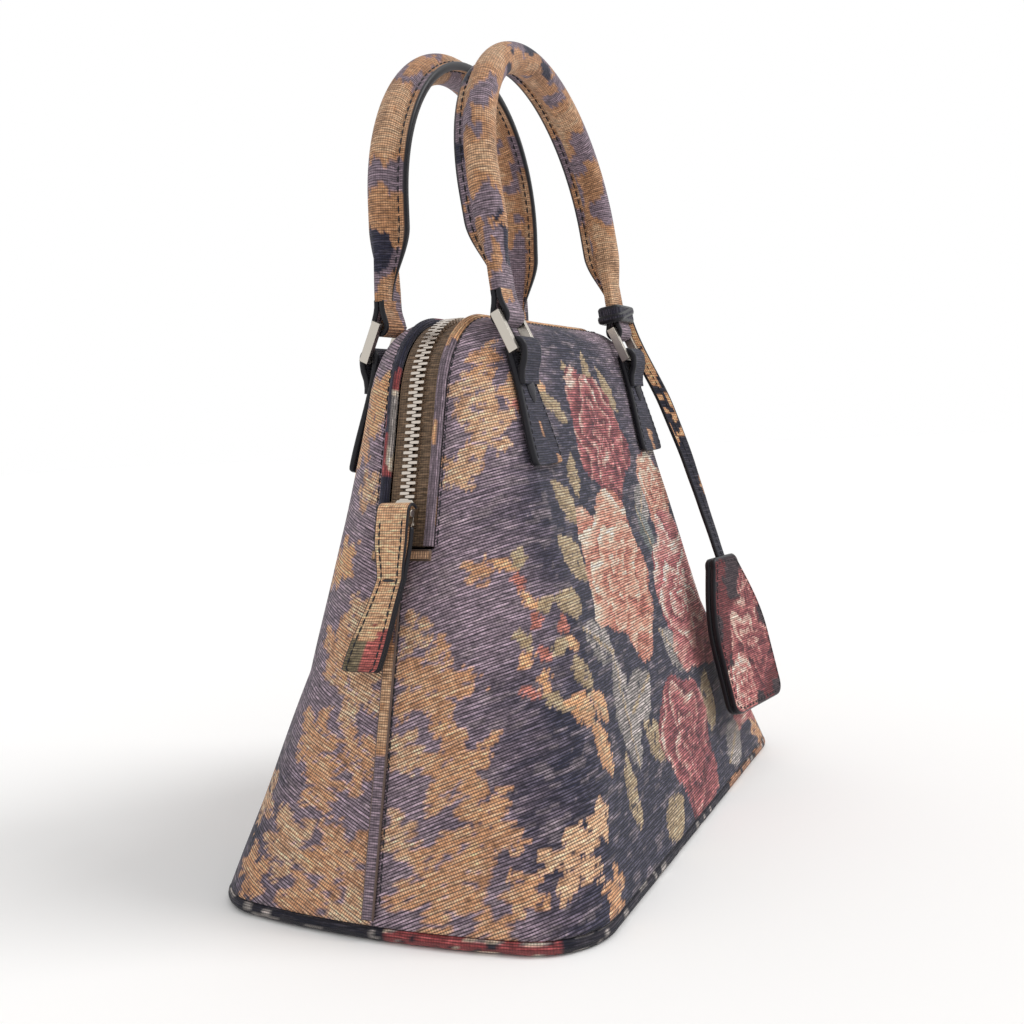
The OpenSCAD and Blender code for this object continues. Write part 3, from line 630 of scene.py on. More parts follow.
def shuttled(x, z, seed=7, play=3.4):
    """Coordinates along the cloth with each row of thread shifted a little, as a loom leaves them."""
    return x + play * (noise(x * 0.15, z * 13.7, seed, 1.0) - 0.5)


def jagged_leaf(x, z, row, cx, cz, size, turn, seed):
    """Mask of a ragged, lobed leaf, whose edge runs out along the rows of thread."""
    dx, dz = x - cx, z - cz
    rho, angle = np.hypot(dx, dz), np.arctan2(dz, dx) + turn
    reach = size * (0.42 + 0.58 * np.abs(np.cos(2.5 * angle)) ** 0.9)
    rag = 0.58 + 0.35 * noise(x, z, seed, 4.5) + 0.4 * noise(x * 0.3, row, seed + 1, 1.2)
    return rho < reach * rag


def oval_leaf(x, z, cx, cz, length, width, turn):
    """Masks of a pointed leaf, of its midrib and of its shaded side."""
    dx, dz = x - cx, z - cz
    along = dx * math.cos(turn) + dz * math.sin(turn)
    across = -dx * math.sin(turn) + dz * math.cos(turn)
    t = along / length
    leaf = (np.abs(t) < 1) & (np.abs(across) < width * (1 - t * t) * (1 - 0.25 * t))
    return leaf, leaf & (np.abs(across) < 0.6), leaf & (across > 0)


def rose(rgb, x, z, cx, cz, size, palette, seed):
    """A full-blown rose: rings of petals, dark at their roots and light at their lips."""
    phase = np.random.default_rng(seed).random(4) * 2 * math.pi
    dx = (x - cx) / size + 0.34 * (fractal(x, z, seed + 7, 16) - 0.5)
    dz = (z - cz) / size + 0.34 * (fractal(x, z, seed + 8, 16) - 0.5)
    rho, angle = np.hypot(dx, dz), np.arctan2(dz, dx)
    lip = 0.9 + 0.08 * np.cos(5 * angle + phase[0]) + 0.06 * np.cos(3 * angle + phase[1])
    ring = 3.1 * rho ** 0.8
    ring = ring + 0.45 * np.sin(2 * angle + phase[2])
    ring = ring + 0.35 * np.sin(5 * angle + phase[3] + 3 * rho)
    petal = ring - np.floor(ring)
    light = 0.2 + 0.75 * petal ** 1.3
    light *= 0.7 + 0.45 * smooth((dz - 0.4 * dx + 1) / 2)
    light += 0.5 * (noise(x * 0.5, z * 1.6, seed + 3, 3) - 0.5) + 0.35 * (fractal(x, z, seed + 5, 12) - 0.5)
    # A weaver has few yarns, so each step between two colours is cut into three
    stops = np.array([linear(c) for c in palette])
    t = np.clip(light, 0, 0.999) * (len(palette) - 1)
    k = t.astype(int)
    f = (np.round((t - k) * 3) / 3)[..., None]
    shade = stops[k] * (1 - f) + stops[np.minimum(k + 1, len(palette) - 1)] * f
    put(rgb, rho < lip, shade)


def ground(x, z, e, row, seed):
    """Mottled dark ground: navy in the middle, mauve grey towards the ends."""
    patches = 0.8 * (fractal(x, z, seed, 38) - 0.5)
    streaks = 0.35 * (noise(x * 0.25, row, seed + 9, 2.4) - 0.5)
    mauve = smooth(1.3 - e / 66 + patches + streaks)[..., None]
    rgb = linear(NAVY) * (1 - mauve) + linear(MAUVE) * mauve
    fleck = noise(x * 0.4, row * 2, seed + 4, 3.0) > 0.74
    rgb[fleck] = rgb[fleck] * 0.7 + linear(GREY) * 0.3
    return rgb


def tan_clusters(rgb, z, e, row, clusters, seed):
    """Ragged tan leaves near the ends, worn so that threads of the ground show through."""
    rng = np.random.default_rng(seed)
    worn = noise(e * 0.3, row, seed + 21, 1.2)
    for ce, cz, size in clusters:
        mask = jagged_leaf(e, z, row, ce, cz, size, rng.random() * 6, seed + int(cz))
        mask &= worn > 0.2
        colour = linear(GOLD if rng.random() < 0.3 else TAN)
        rgb[mask] = 0.86 * colour + 0.14 * rgb[mask]
        vein = mask & (noise(e * 1.4, z, seed + 31 + int(ce), 4.5) > 0.66)
        rgb[vein] = 0.45 * rgb[vein] + 0.55 * linear(DARK_TAN)


def front_print(x, z, e, row):
    """Roses with their leaves and sprigs in the middle, tan leaves near the ends."""
    shift = shuttled(x, row) - x
    x, e = x + shift, e + shift
    rgb = ground(x, z, e, row, 41)
    tan_clusters(rgb, z, e, row, FRONT_CLUSTERS, 52)
    for k, (cx, cz, length, width, turn, colour) in enumerate(LEAVES):
        leaf, rib, shaded = oval_leaf(x, z, cx, cz, length, width, turn)
        worn = noise(x, z, 60 + k, 2.4) > 0.14
        put(rgb, leaf & worn, colour)
        rgb[shaded & worn] *= 0.72
        put(rgb, rib & worn, OLIVE)
    for k, (cx, cz) in enumerate(SPRIGS):
        for turn, length, width, colour in SPRIG_LEAVES:
            a = turn + 1.7 * k
            leaf, _, _ = oval_leaf(x, z, cx + 5 * math.cos(a), cz + 5 * math.sin(a), length, width, a)
            put(rgb, leaf, colour)
    for flower in FRONT_ROSES:
        rose(rgb, x, z, *flower)
    return rgb


def back_print(x, z, e, row):
    """Scattered tan leaves and three roses: the photograph doesn't show this side."""
    shift = shuttled(x, row) - x
    x, e = x + shift, e + shift
    rgb = ground(x, z, e, row, 141)
    tan_clusters(rgb, z, e, row, BACK_CLUSTERS, 75)
    rng = np.random.default_rng(5)
    worn = noise(x, z, 90, 2.2) > 0.18
    for k in range(BACK_LEAVES):
        cx, cz, size = rng.uniform(-110, 110), rng.uniform(12, 195), rng.uniform(9, 17)
        put(rgb, jagged_leaf(x, z, row, cx, cz, size, k, 200 + k) & worn, TAN)
    for flower in BACK_ROSES:
        rose(rgb, x, z, *flower)
    return rgb


# The prints of straps and cords take the length s along them and the width w across or around them

def strap_print(seed, share, dark=MAUVE):
    """Tan leaves over a dark ground, tan covering about the given share."""
    def paint(s, w):
        ragged = s + 3.6 * (noise(w * 0.9, s * 0.3, seed + 5, 1.0) - 0.5)
        rgb = covered(linear(dark) * 0.85, len(s))
        put(rgb, noise(ragged, w, seed + 3, 14) > 0.74, NAVY)
        leaf = fractal(ragged, w * 1.4, seed, 17)
        rgb[leaf > 1 - share] = linear(TAN) * 0.62
        rgb[leaf > 1.14 - share] = linear(GOLD) * 0.68
        rgb[(leaf > 1 - share) & (fractal(ragged, w, seed + 9, 9) > 0.62)] *= 0.72
        return rgb
    return paint


def front_piping_print(s, w):
    """Mauve up the ends, tan along the top."""
    fleck = noise(np.floor(s / 2) * 2, np.floor(w / 1.6) * 5, 61, 14)
    rgb = covered(linear(MAUVE) * 0.8, len(s))
    put(rgb, (fleck > 0.72) | ((np.abs(s - ZIP_TOTAL / 2) < 85) & (fleck > 0.25)), TAN)
    return rgb


def back_piping_print(s, w):
    """Navy with runs of red, cream and sage."""
    fleck = noise(np.floor(s / 2.4) * 2.4, np.floor(w / 1.6) * 6, 62, 16)
    rgb = covered(linear(NAVY), len(s))
    for low, colour in ((0.62, RED), (0.74, CREAM), (0.8, SAGE)):
        put(rgb, fleck >= low, colour)
    return rgb


def base_print(s, w):
    """From the left seam on: red, then navy with flecks, and tan at the far end."""
    run = np.floor(s / 1.6) * 1.6
    fleck = noise(run, np.floor(w / 1.6) * 5, 72, 5)
    rgb = covered(linear(NAVY) * 0.45, len(s))
    put(rgb, fleck > 0.8, SAGE)
    red = (run > 4) & (run < 66)
    put(rgb, red & (fleck < 0.72), RED)
    put(rgb, red & (fleck > 0.84), CREAM)
    put(rgb, (run > 250) & (run < 340) & (fleck < 0.6), DARK_TAN)
    return rgb


def tape_print(s, _):
    """Plain brown."""
    return covered(linear(TAPE_BROWN), len(s))


def pull_print(s, w):
    """Tan strap, with an olive and a red stripe towards the tail's end."""
    rgb = covered(linear("#f8bf93"), len(s))
    worn = noise(s, w * 0.4, 133, 3)
    tail = s < 14 + 12 * (worn - 0.5)
    put(rgb, tail & (w > 0), "#7d7057")
    put(rgb, tail & (w <= 0), "#b4605a")
    rgb[worn > 0.7] *= 0.8
    return rgb


def tag_strap_print(s, w):
    """Tan above, then navy with fewer and fewer tan flecks."""
    fleck = noise(np.floor(s / 1.2) * 1.2, np.floor(w / 1.2) * 2.4, 143, 4)
    rgb = covered(linear(NAVY) * 0.6, len(s))
    put(rgb, fleck > 0.1 + s / 110, TAN)
    return rgb


def knot_print(s, _):
    """Plain dark blue grey."""
    return covered(linear("#2b2a37"), len(s))


def tag_print(x, z):
    """Three roses on a dark red ground."""
    x = shuttled(x, z, play=1.6)
    rgb = covered(linear("#301f26"), len(x))
    put(rgb, fractal(x, z, 151, 12) > 0.55, "#622024")
    for flower in TAG_ROSES:
        rose(rgb, x, z, *flower)
    return rgb


# Panels

def panel_heights():
    """Heights of the panels' rows of points, the last ones spaced evenly round the shoulder."""
    top = math.asin((RIM_TOP_Z - SHOULDER_Z) / SHOULDER_R)
    low = np.linspace(BASE_PIPING_D + SEAT, ZIP_START - 0.6, 108)
    mid = np.linspace(ZIP_START, LINE_TOP_Z, 48, endpoint=False)
    turn = np.linspace(END_LEAN, top, 44)
    return np.concatenate([low, mid, SHOULDER_Z + SHOULDER_R * np.sin(turn)])


def running_sum(steps):
    """Sums along each row of a grid, from 0."""
    return np.concatenate([np.zeros((len(steps), 1)), np.cumsum(steps, axis=1)], axis=1)


def thread_dip(grid, steps):
    """How far straight threads dip below a row of points, as the leaning cloth turns round the corners."""
    turned = np.abs(np.arctan2(np.diff(grid[..., 1], axis=1), np.diff(grid[..., 0], axis=1)))
    drop = running_sum(np.tan(turned * math.sin(FACE_LEAN)) * steps)
    middle = grid.shape[1] // 2
    return np.abs(drop - drop[:, middle:middle + 1])


def border(rows, cols):
    """Indices of the points round the edge of a grid."""
    return np.concatenate([
        np.arange(cols), np.arange(1, rows) * cols + cols - 1,
        (rows - 1) * cols + np.arange(cols - 2, -1, -1), np.arange(rows - 2, 0, -1) * cols,
    ])


def panel(name, paint, back, seed):
    """A panel's cloth from seam to seam with its edges turned in. Gives the piece, its points and normals."""
    heights = panel_heights()
    edge = np.where(heights < ZIP_START, SEAM_GAP, SLOT_HALF)
    grid = np.array([section(z, w) for z, w in zip(heights, edge)])
    rows, cols, _ = grid.shape
    middle = cols // 2
    steps = np.linalg.norm(np.diff(grid, axis=1), axis=2)
    along = running_sum(steps)
    x = along - along[:, middle:middle + 1]
    rise = path_lengths(grid[:, middle])
    z = np.broadcast_to((rise + heights[0])[:, None], x.shape)
    e = (along[:, -1:] / 2 - np.abs(x)) + edge[:, None]
    # The cloth swells a little between its edges
    normal = unit(np.cross(np.gradient(grid, axis=1), np.gradient(grid, axis=0)))
    calm = smooth((e - edge[:, None]) / 25) * smooth((z - 12) / 25) * smooth((214 - z) / 22)
    swell = calm * (2.2 * (fractal(x + 300, z, seed, 80) - 0.45) - 0.3)
    skin = (grid + normal * swell[..., None]).reshape(-1, 3)
    loop = border(rows, cols)
    turned_in = skin[loop] - normal.reshape(-1, 3)[loop] * PANEL_T
    turned_in[:cols, 2] = heights[0]
    inner = rows * cols + np.arange(len(loop))
    rim = np.stack([loop, inner, np.roll(inner, -1), np.roll(loop, -1)], axis=1)
    row = z + thread_dip(grid, steps)
    rgb = paint(x.ravel(), z.ravel(), e.ravel(), row.ravel())
    uv = np.stack([x.ravel(), row.ravel()], axis=1)
    points = facing(np.concatenate([skin, turned_in]), back)
    faces = np.concatenate([grid_faces(rows, cols), rim])
    piece = new_mesh(name, points, faces, TAPESTRY, "bag",
                     np.concatenate([rgb, rgb[loop]]), np.concatenate([uv, uv[loop]]))
    return piece, grid, normal


front_cloth, front_grid, front_normal = panel("front_cloth", front_print, False, 301)
back_cloth, back_grid, back_normal = panel("back_cloth", back_print, True, 302)
for piece, node in ((front_cloth, "front_panel"), (back_cloth, "back_panel")):
    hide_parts(node)


def zip_border(field, rows, back):
    """Values of a panel's field up beside the zip, along the top and down again."""
    inset, below_top, corner = 4, 6, 80
    top = field[-below_top, corner:-corner]
    line = np.concatenate([field[rows, inset], top, field[rows, -1 - inset][::-1]])
    return facing(line, back)


def panel_stitches():
    """Stitching beside the zip on both panels, and beside the side seams."""
    zip_row = int(np.argmax(panel_heights() >= ZIP_START))
    above = slice(zip_row + 1, None)
    below = slice(6, zip_row - 4)
    for name, grid, normal, back in (
        ("front", front_grid, front_normal, False),
        ("back", back_grid, back_normal, True),
    ):
        line, out = zip_border(grid, above, back), zip_border(normal, above, back)
        stitches(f"{name}_zip_stitches", line, out, "bag", ZIP_STITCH)
    for side, column in (("left", 1), ("right", -2)):
        line, out = front_grid[below, column], front_normal[below, column]
        stitches(f"seam_stitches_{side}", line, out, "bag", SEAM_STITCH)


panel_stitches()

# Zip: tapes, piping, end pieces and welts

ZIP_RUN = (LINE_TOP_Z - ZIP_FOOT) / math.cos(END_LEAN)
ZIP_ARC = SHOULDER_R * (math.pi / 2 - END_LEAN)
ZIP_TOTAL = 2 * (ZIP_RUN + ZIP_ARC + SHOULDER_X)


def zip_frame(s):
    """Point, outward direction and running direction at length s along the zip, from the left foot."""
    mirrored = s > ZIP_TOTAL / 2
    q = ZIP_TOTAL - s if mirrored else s
    if q < ZIP_RUN:
        tilt = END_LEAN
        point = [-half_length(ZIP_FOOT) + q * math.sin(tilt), 0, ZIP_FOOT + q * math.cos(tilt)]
    elif q < ZIP_RUN + ZIP_ARC:
        tilt = END_LEAN + (q - ZIP_RUN) / SHOULDER_R
        point = [-SHOULDER_X - SHOULDER_R * math.cos(tilt), 0, SHOULDER_Z + SHOULDER_R * math.sin(tilt)]
    else:
        tilt = math.pi / 2
        point = [-SHOULDER_X + q - ZIP_RUN - ZIP_ARC, 0, BODY_H]
    flip = np.array([-1, 1, 1]) if mirrored else np.ones(3)
    out = np.array([-math.cos(tilt), 0, math.sin(tilt)]) * flip
    along = np.array([math.sin(tilt), 0, math.cos(tilt)]) * flip * (-1 if mirrored else 1)
    return np.array(point) * flip, out, along


def zip_trim():
    """Piping and tape on both sides of the zip."""
    frames = [zip_frame(s) for s in np.linspace(0, ZIP_TOTAL, 320)]
    points = np.array([point for point, _, _ in frames])
    out = np.array([outward for _, outward, _ in frames])
    for side, sign, paint in (("front", -1, front_piping_print), ("back", 1, back_piping_print)):
        y = sign * (SLOT_HALF - SEAT - ZIP_PIPING_D / 2)
        path = points + y * Y_AXIS - ZIP_PIPING_SINK * out
        cord = round_cord(f"{side}_piping_cloth", path, out, Y_AXIS, ZIP_PIPING_D / 2, "bag", paint)
        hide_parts(f"{side}_zip_piping")
        edge = SLOT_HALF - ZIP_PIPING_D - 2 * SEAT
        path = points + sign * (edge + TAPE_GAP) / 2 * Y_AXIS - (TAPE_DEPTH + TAPE_T / 2) * out
        tape = ribbon(f"{side}_tape_cloth", path, Y_AXIS, out, edge - TAPE_GAP, TAPE_T, "bag", tape_print,
                      edge=TAPE_BROWN, material=ZIP_TAPE)
        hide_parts(f"{side}_zip_tape")


def end_pieces():
    """The welt on each side seam and the folded piece above it, at the foot of the zip."""
    out = np.array([-math.cos(END_LEAN), 0, math.sin(END_LEAN)])
    up = np.array([math.sin(END_LEAN), 0, math.cos(END_LEAN)])

    def on_end(z):
        return np.array([-half_length(z), 0, z])

    for side, far in (("left", False), ("right", True)):
        foot = BASE_PIPING_D + 2
        t = np.linspace(0, (ZIP_START - 4 - foot) / math.cos(END_LEAN), 90)
        path = on_end(foot) + t[:, None] * up + out * (SEAT + WELT_T / 2) + Y_AXIS * WELT_W * 0.3
        welt = ribbon(f"{side}_welt_cloth", facing(path, far), facing(Y_AXIS, far), facing(out, far), WELT_W,
                      WELT_T, "bag", strap_print(83, 0.56), edge="#5d4c45")
        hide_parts(f"{side}_side_welt")
        height = ZIP_END_H / math.cos(END_LEAN) - SEAT
        thick = WELT_T + 0.6
        y = np.linspace(-SLOT_HALF + 0.4, SLOT_HALF - 0.4, 26)
        middle = on_end(ZIP_START - ZIP_END_H) + up * height / 2 + out * (SEAT + thick / 2)
        path = middle + y[:, None] * Y_AXIS
        patch = ribbon(f"{side}_end_cloth", facing(path, far), facing(up, far), facing(out, far), height,
                       thick, "bag", strap_print(87, 0.72), edge="#4a3a30")
        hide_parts(f"{side}_zip_end")


def base_trim():
    """Piping round the base, from the left seam along the front."""
    r = BASE_PIPING_D / 2
    q = quarter(r, 0.0, 24, 60)
    q = np.concatenate([q, [[0, q[-1, 1]]]])
    half = np.concatenate([q * [-1, -1], (q * [1, -1])[::-1][1:]])
    ring = np.concatenate([half, half[1:-1] * [-1, -1]])
    ring = resample(np.concatenate([ring, ring[:1]]), 2.0)[:-1]
    along = unit(np.roll(ring, -1, axis=0) - np.roll(ring, 1, axis=0))
    out = np.stack([along[:, 1], -along[:, 0], np.zeros(len(ring))], axis=1)
    path = np.concatenate([ring, np.full((len(ring), 1), r)], axis=1) - r * out
    cord = round_cord("base_piping_cloth", path, out, Z_AXIS, r, "bag", base_print, closed=True)
    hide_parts("base_piping")


zip_trim()
end_pieces()
base_trim()

# Tabs with their tucked tongues

LOOP_R = BAR_R + LOOP_PLAY + TAB_T
FACE_Y = BASE_DEPTH / 2 - RING_Z * math.tan(FACE_LEAN)
LOWER_BAR = np.array([0, -(FACE_Y + (SEAT + LOOP_R) / math.cos(FACE_LEAN)), RING_Z])
UPPER_BAR = LOWER_BAR + RING_H * np.array([0, math.sin(RING_LEAN), math.cos(RING_LEAN)])
HANDLE_RISE = HANDLE_H - HANDLE_D / 2
FRONT_LEAN = math.asin((-UPPER_BAR[1] - FRONT_REACH) / HANDLE_RISE)
BACK_LEAN = math.asin((-UPPER_BAR[1] - BACK_REACH) / HANDLE_RISE)
CORNERS = (
    ("front_left", -1, False), ("front_right", 1, False),
    ("back_left", -1, True), ("back_right", 1, True),
)


def to_corner(points, side, back):
    """Moves points made on the front, at the middle, to one of the four corners."""
    return facing(points, back) + side * RING_HALF_PITCH * X_AXIS


def leaned(lean):
    """Outward and upward directions of a plane that leans inward on the front side."""
    return np.array([0, -math.cos(lean), math.sin(lean)]), np.array([0, math.sin(lean), math.cos(lean)])


def flat_path(track, origin, lean):
    """A path of (outward, up) pairs in a leaning plane, with the strap's outward directions."""
    out, up = leaned(lean)
    path = origin + track[:, :1] * out + track[:, 1:] * up
    normal = line_normals(track)
    return path, normal[:, :1] * out + normal[:, 1:] * up


def tab_flare(v):
    """How far a tab has widened at height v beside the ring's lower bar, from 0 to 1 at its foot."""
    return smooth((-v - LOOP_R - 1) / (TAB_LEN - LOOP_R))


def rounded_end(distance, radius):
    """How far a strap narrows near its end, from 1 at the end to 0 at the given radius, as an arc."""
    left = 1 - np.clip(distance / radius, 0, 1)
    return 1 - np.sqrt(np.clip(1 - left ** 2, 0, 1))


def tab(name, side, back, seed):
    """A tab: up the face, round the ring's lower bar and down into its own slit. Gives its tongue."""
    mid = LOOP_R - TAB_T / 2
    foot = np.stack([np.full(30, -mid), np.linspace(-TAB_LEN, -1, 30)], axis=1)
    a = np.linspace(math.pi, -0.12, 22)
    loop = mid * np.stack([np.cos(a), np.sin(a)], axis=1)
    tuck = np.array([[mid * 0.86, -2.6], [mid * 0.55, -5.4], [-0.2, -8.6], [-1.2, -11.5], [-1.6, -14]])
    track = resample(np.concatenate([foot, loop, tuck]), 0.8)
    path, outward = flat_path(track, LOWER_BAR, FACE_LEAN)
    step = np.arange(len(track))
    v = track[:, 1]
    on_face = step < len(resample(foot, 0.8))
    widths = np.where(on_face, STRAP_W + (TAB_W - STRAP_W) * tab_flare(v), STRAP_W - 0.2)
    widths = np.where(step < 5, widths - 4 * rounded_end(v + TAB_LEN, 2.5), widths)
    strap = ribbon(f"{name}_cloth", to_corner(path, side, back), facing(X_AXIS, back), facing(outward, back),
                   widths, TAB_T, "bag", strap_print(seed, 0.3, NAVY))
    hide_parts(name)
    out, up = leaned(FACE_LEAN)
    surface = LOWER_BAR + (-mid + TAB_T / 2) * out
    v = np.linspace(-TAB_LEN + 2.6, -LOOP_R - 3, 20)
    w = STRAP_W / 2 + (TAB_W - STRAP_W) / 2 * tab_flare(v) - 1.9
    for edge, sign in (("l", -1), ("r", 1)):
        line = surface + v[:, None] * up + sign * w[:, None] * X_AXIS
        stitches(f"{name}_stitches_{edge}", to_corner(line, side, back), facing(out, back), "bag", TAB_STITCH)
    return tongue(f"{name}_tongue", side, back, surface)


def tongue(name, side, back, surface):
    """The almond bulge where the strap's end is tucked into its slit."""
    length, width, height = 13.0, 6.0, 1.7
    rings, sides = 8, 28
    out, up = leaned(FACE_LEAN)
    centre = surface + (-LOOP_R - 4 - length / 2) * up
    a = np.linspace(0, FULL_TURN, sides, endpoint=False)
    x = width / 2 * np.sign(np.cos(a)) * np.abs(np.cos(a)) ** 1.3
    v = length / 2 * np.sin(a)
    rim = x[:, None] * X_AXIS + v[:, None] * up
    rho = np.linspace(0.02, 1, rings)[:, None, None]
    points = centre + rho * rim + height * np.sqrt(1 - (rho * 0.98) ** 2) * out
    faces = grid_faces(rings, sides, wrap=True).tolist() + [list(range(sides))]
    dome = new_mesh(name, to_corner(points.reshape(-1, 3), side, back), faces, LEATHER, "bag")
    return dome


for number, (corner, side, back) in enumerate(CORNERS):
    tab(f"{corner}_tab", side, back, 95 + number)
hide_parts("tab_tongues")

# Handles: rolled tubes with a stitched flange, flattening into straps round the rings

LEG_H = HANDLE_H - RING_HALF_PITCH - HANDLE_D / 2


def handle_path():
    """Track of the handle in its plane: across, up and the angle of its outward side."""
    leg = np.linspace(END_H, LEG_H, 40, endpoint=False)
    a = np.linspace(math.pi, 0, 120)
    left = np.stack([np.full(40, -RING_HALF_PITCH), leg, np.full(40, math.pi)], axis=1)
    arc = np.stack([RING_HALF_PITCH * np.cos(a), LEG_H + RING_HALF_PITCH * np.sin(a), a], axis=1)
    right = np.stack([np.full(40, RING_HALF_PITCH), leg[::-1], np.zeros(40)], axis=1)
    return np.concatenate([left, arc, right])


def flat_point(points):
    """Where points of the tube's section lie once it is pressed flat."""
    angle = np.arctan2(points[:, 1], points[:, 0])
    c, s = np.cos(angle), np.sin(angle)
    to_side = STRAP_W / 2 / np.maximum(np.abs(c), 1e-3)
    to_face = END_T / 2 / np.maximum(np.abs(s), 1e-3)
    return np.minimum(to_side, to_face)[:, None] * np.stack([c, s], axis=1)


def tube_section():
    """Points of the tube with its flange, and which of them are on the flange's painted edge."""
    open_angle = math.radians(32)
    a = np.linspace(math.pi / 2 + open_angle, math.pi / 2 + FULL_TURN - open_angle, 40)
    tube = HANDLE_D / 2 * np.stack([np.cos(a), np.sin(a)], axis=1)
    t = FLANGE_T / 2
    tip = HANDLE_D / 2 + FLANGE_L
    rise = np.linspace(HANDLE_D / 2 - 0.2, tip - 0.9, 5)
    right = np.stack([np.full(5, t), rise], axis=1)
    b = np.linspace(0, math.pi, 7)
    cap = np.stack([t * np.cos(b), tip - 0.9 + 0.9 * np.sin(b)], axis=1)[1:-1]
    left = np.stack([np.full(5, -t), rise[::-1]], axis=1)
    loop = np.concatenate([tube, right, cap, left])
    return loop, loop[:, 1] > tip - 1.4


def handle(name, lean, back, seed):
    """A handle's tube, from strap end to strap end, and the stitches on both sides of its flange."""
    track = handle_path()
    x, h, angle = (column[:, None] for column in track.T)
    out, up = leaned(lean)
    sideways = np.cos(angle) * X_AXIS + np.sin(angle) * up
    middle = UPPER_BAR + x * X_AXIS + h * up
    flatness = 1 - smooth((h - END_H) / FLAT_RUN)

    def placed(points):
        """Points of the section, carried along the handle: one row for each step of the track."""
        f = flatness[..., None]
        q = points * (1 - f) + flat_point(points) * f
        return facing(middle[:, None] + q[..., :1] * sideways[:, None] - q[..., 1:] * out, back)

    loop, edge = tube_section()
    around = path_lengths(loop)
    s, w = (field.ravel() for field in np.meshgrid(path_lengths(track[:, :2]), around, indexing="ij"))
    rgba = with_alpha(strap_print(seed, 0.58)(s, w))
    rgba[np.tile(edge, len(track))] = edge_paint(BLACK)
    faces = tube_faces(len(track), len(loop))
    tube = new_mesh(f"{name}_cloth", placed(loop).reshape(-1, 3), faces, TRIM, name, rgba,
                    np.stack([w, s], axis=1))
    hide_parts(name)
    sewn = flatness[:, 0] < 0.8
    for edge_name, sign in (("in", -1), ("out", 1)):
        seam = np.array([[sign * (FLANGE_T / 2 + 0.1), HANDLE_D / 2 + 1.2]])
        line, normal = placed(seam)[:, 0], facing(sign * sideways, back)
        stitches(f"{name}_stitches_{edge_name}", line[sewn], normal[sewn], name, HANDLE_STITCH)


def strap_end(name, side, back, lean, body, seed):
    """The folded end of a handle, round the ring's upper bar."""
    mid = BAR_R + LOOP_PLAY + 1.25
    a = np.linspace(math.radians(-8), math.radians(-172), 24)
    loop = mid * np.stack([np.cos(a), np.sin(a)], axis=1)
    lead = np.array([[1.15, END_H + 0.4], [1.2, 7.5], [1.7, 5.0], [2.5, 2.6], [mid * 0.98, 0.8]])
    track = resample(np.concatenate([lead, loop, lead[::-1] * [-1, 1]]), 0.7)
    path, outward = flat_path(track, UPPER_BAR, lean)
    strap = ribbon(f"{name}_cloth", to_corner(path, side, back), facing(X_AXIS, back), -facing(outward, back),
                   STRAP_W - 0.2, STRAP_END_T, body, strap_print(seed, 0.45))
    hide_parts(name)


handle("front_handle", FRONT_LEAN, False, 103)
handle("back_handle", BACK_LEAN, True, 113)
for number, (corner, side, back) in enumerate(CORNERS):
    lean, body = (BACK_LEAN, "back_handle") if back else (FRONT_LEAN, "front_handle")
    strap_end(f"{corner}_strap", side, back, lean, body, 120 + number)


# Puller: a front strap that loops over the pin, and a back strap behind it

def puller():
    """The puller's two straps, with the stitches and a dark bar of painted shade for the slit on the front
    one.
    """
    point, out, up = zip_frame(SLIDER_S)
    front_offset, back_offset = (PULL_T - PULL_FRONT_T) / 2, (PULL_BACK_T - PULL_T) / 2
    tail = np.stack([np.full(24, front_offset), np.linspace(-PULL_LEN, -26, 24)], axis=1)
    bulge = np.array([[1.5, -23], [2.3, -18], [3.1, -12], [3.5, -6], [3.45, -1.5]])
    a = np.linspace(0.1, 2.35, 14)
    over = PULL_LOOP_R * np.stack([np.cos(a), np.sin(a)], axis=1)
    behind = np.stack([np.full(24, back_offset), np.linspace(-PULL_LEN, -5, 24)], axis=1)

    def strap(name, line, thick):
        """One strap of the puller along a line of (outward, up) pairs from the pin."""
        track = resample(line, 0.9)
        v = track[:, 1]
        to_tail = smooth((PULL_WAIST - v) / 30)
        widths = PULL_WAIST_W + PULL_TOP_FLARE * smooth((v - PULL_WAIST) / 15) + PULL_TAIL_FLARE * to_tail
        widths = widths - 2.5 * rounded_end(v + PULL_LEN, 1.6)
        skew = PULL_SKEW * np.clip((PULL_WAIST - v) / 34, 0, 1) + 0.5 * to_tail
        path = point + (PIN_OUT + track[:, :1]) * out + track[:, 1:] * up + skew[:, None] * Y_AXIS
        normal = line_normals(track)
        outward = normal[:, :1] * out + normal[:, 1:] * up
        piece = ribbon(name, path, Y_AXIS, outward, widths, thick, "pull", pull_print)
        return piece, v, widths, outward, path + thick / 2 * outward

    front, v, widths, outward, surface = strap(
        "pull_front_cloth", np.concatenate([tail, bulge, over]), PULL_FRONT_T)
    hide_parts("zip_pull")
    waist = int(np.argmin(np.abs(v - PULL_WAIST + 1)))
    # The slit is not cut: a dark leather bar across the waist is painted shade standing in for it
    slit = surface[waist] + np.linspace(-2.6, 2.6, 12)[:, None] * Y_AXIS
    stitches("pull_slit_shade", slit, outward[waist], "pull", PULL_SLIT_SHADE, LEATHER)
    sewn = v < -1.5
    for edge, sign in (("l", -1), ("r", 1)):
        row = surface + sign * (widths / 2 - 2.2)[:, None] * Y_AXIS
        stitches(f"pull_stitches_{edge}", row[sewn], outward[sewn], "pull", PULL_STITCH)
    strap("pull_back_cloth", behind, PULL_BACK_T)


puller()


# Hanging tag

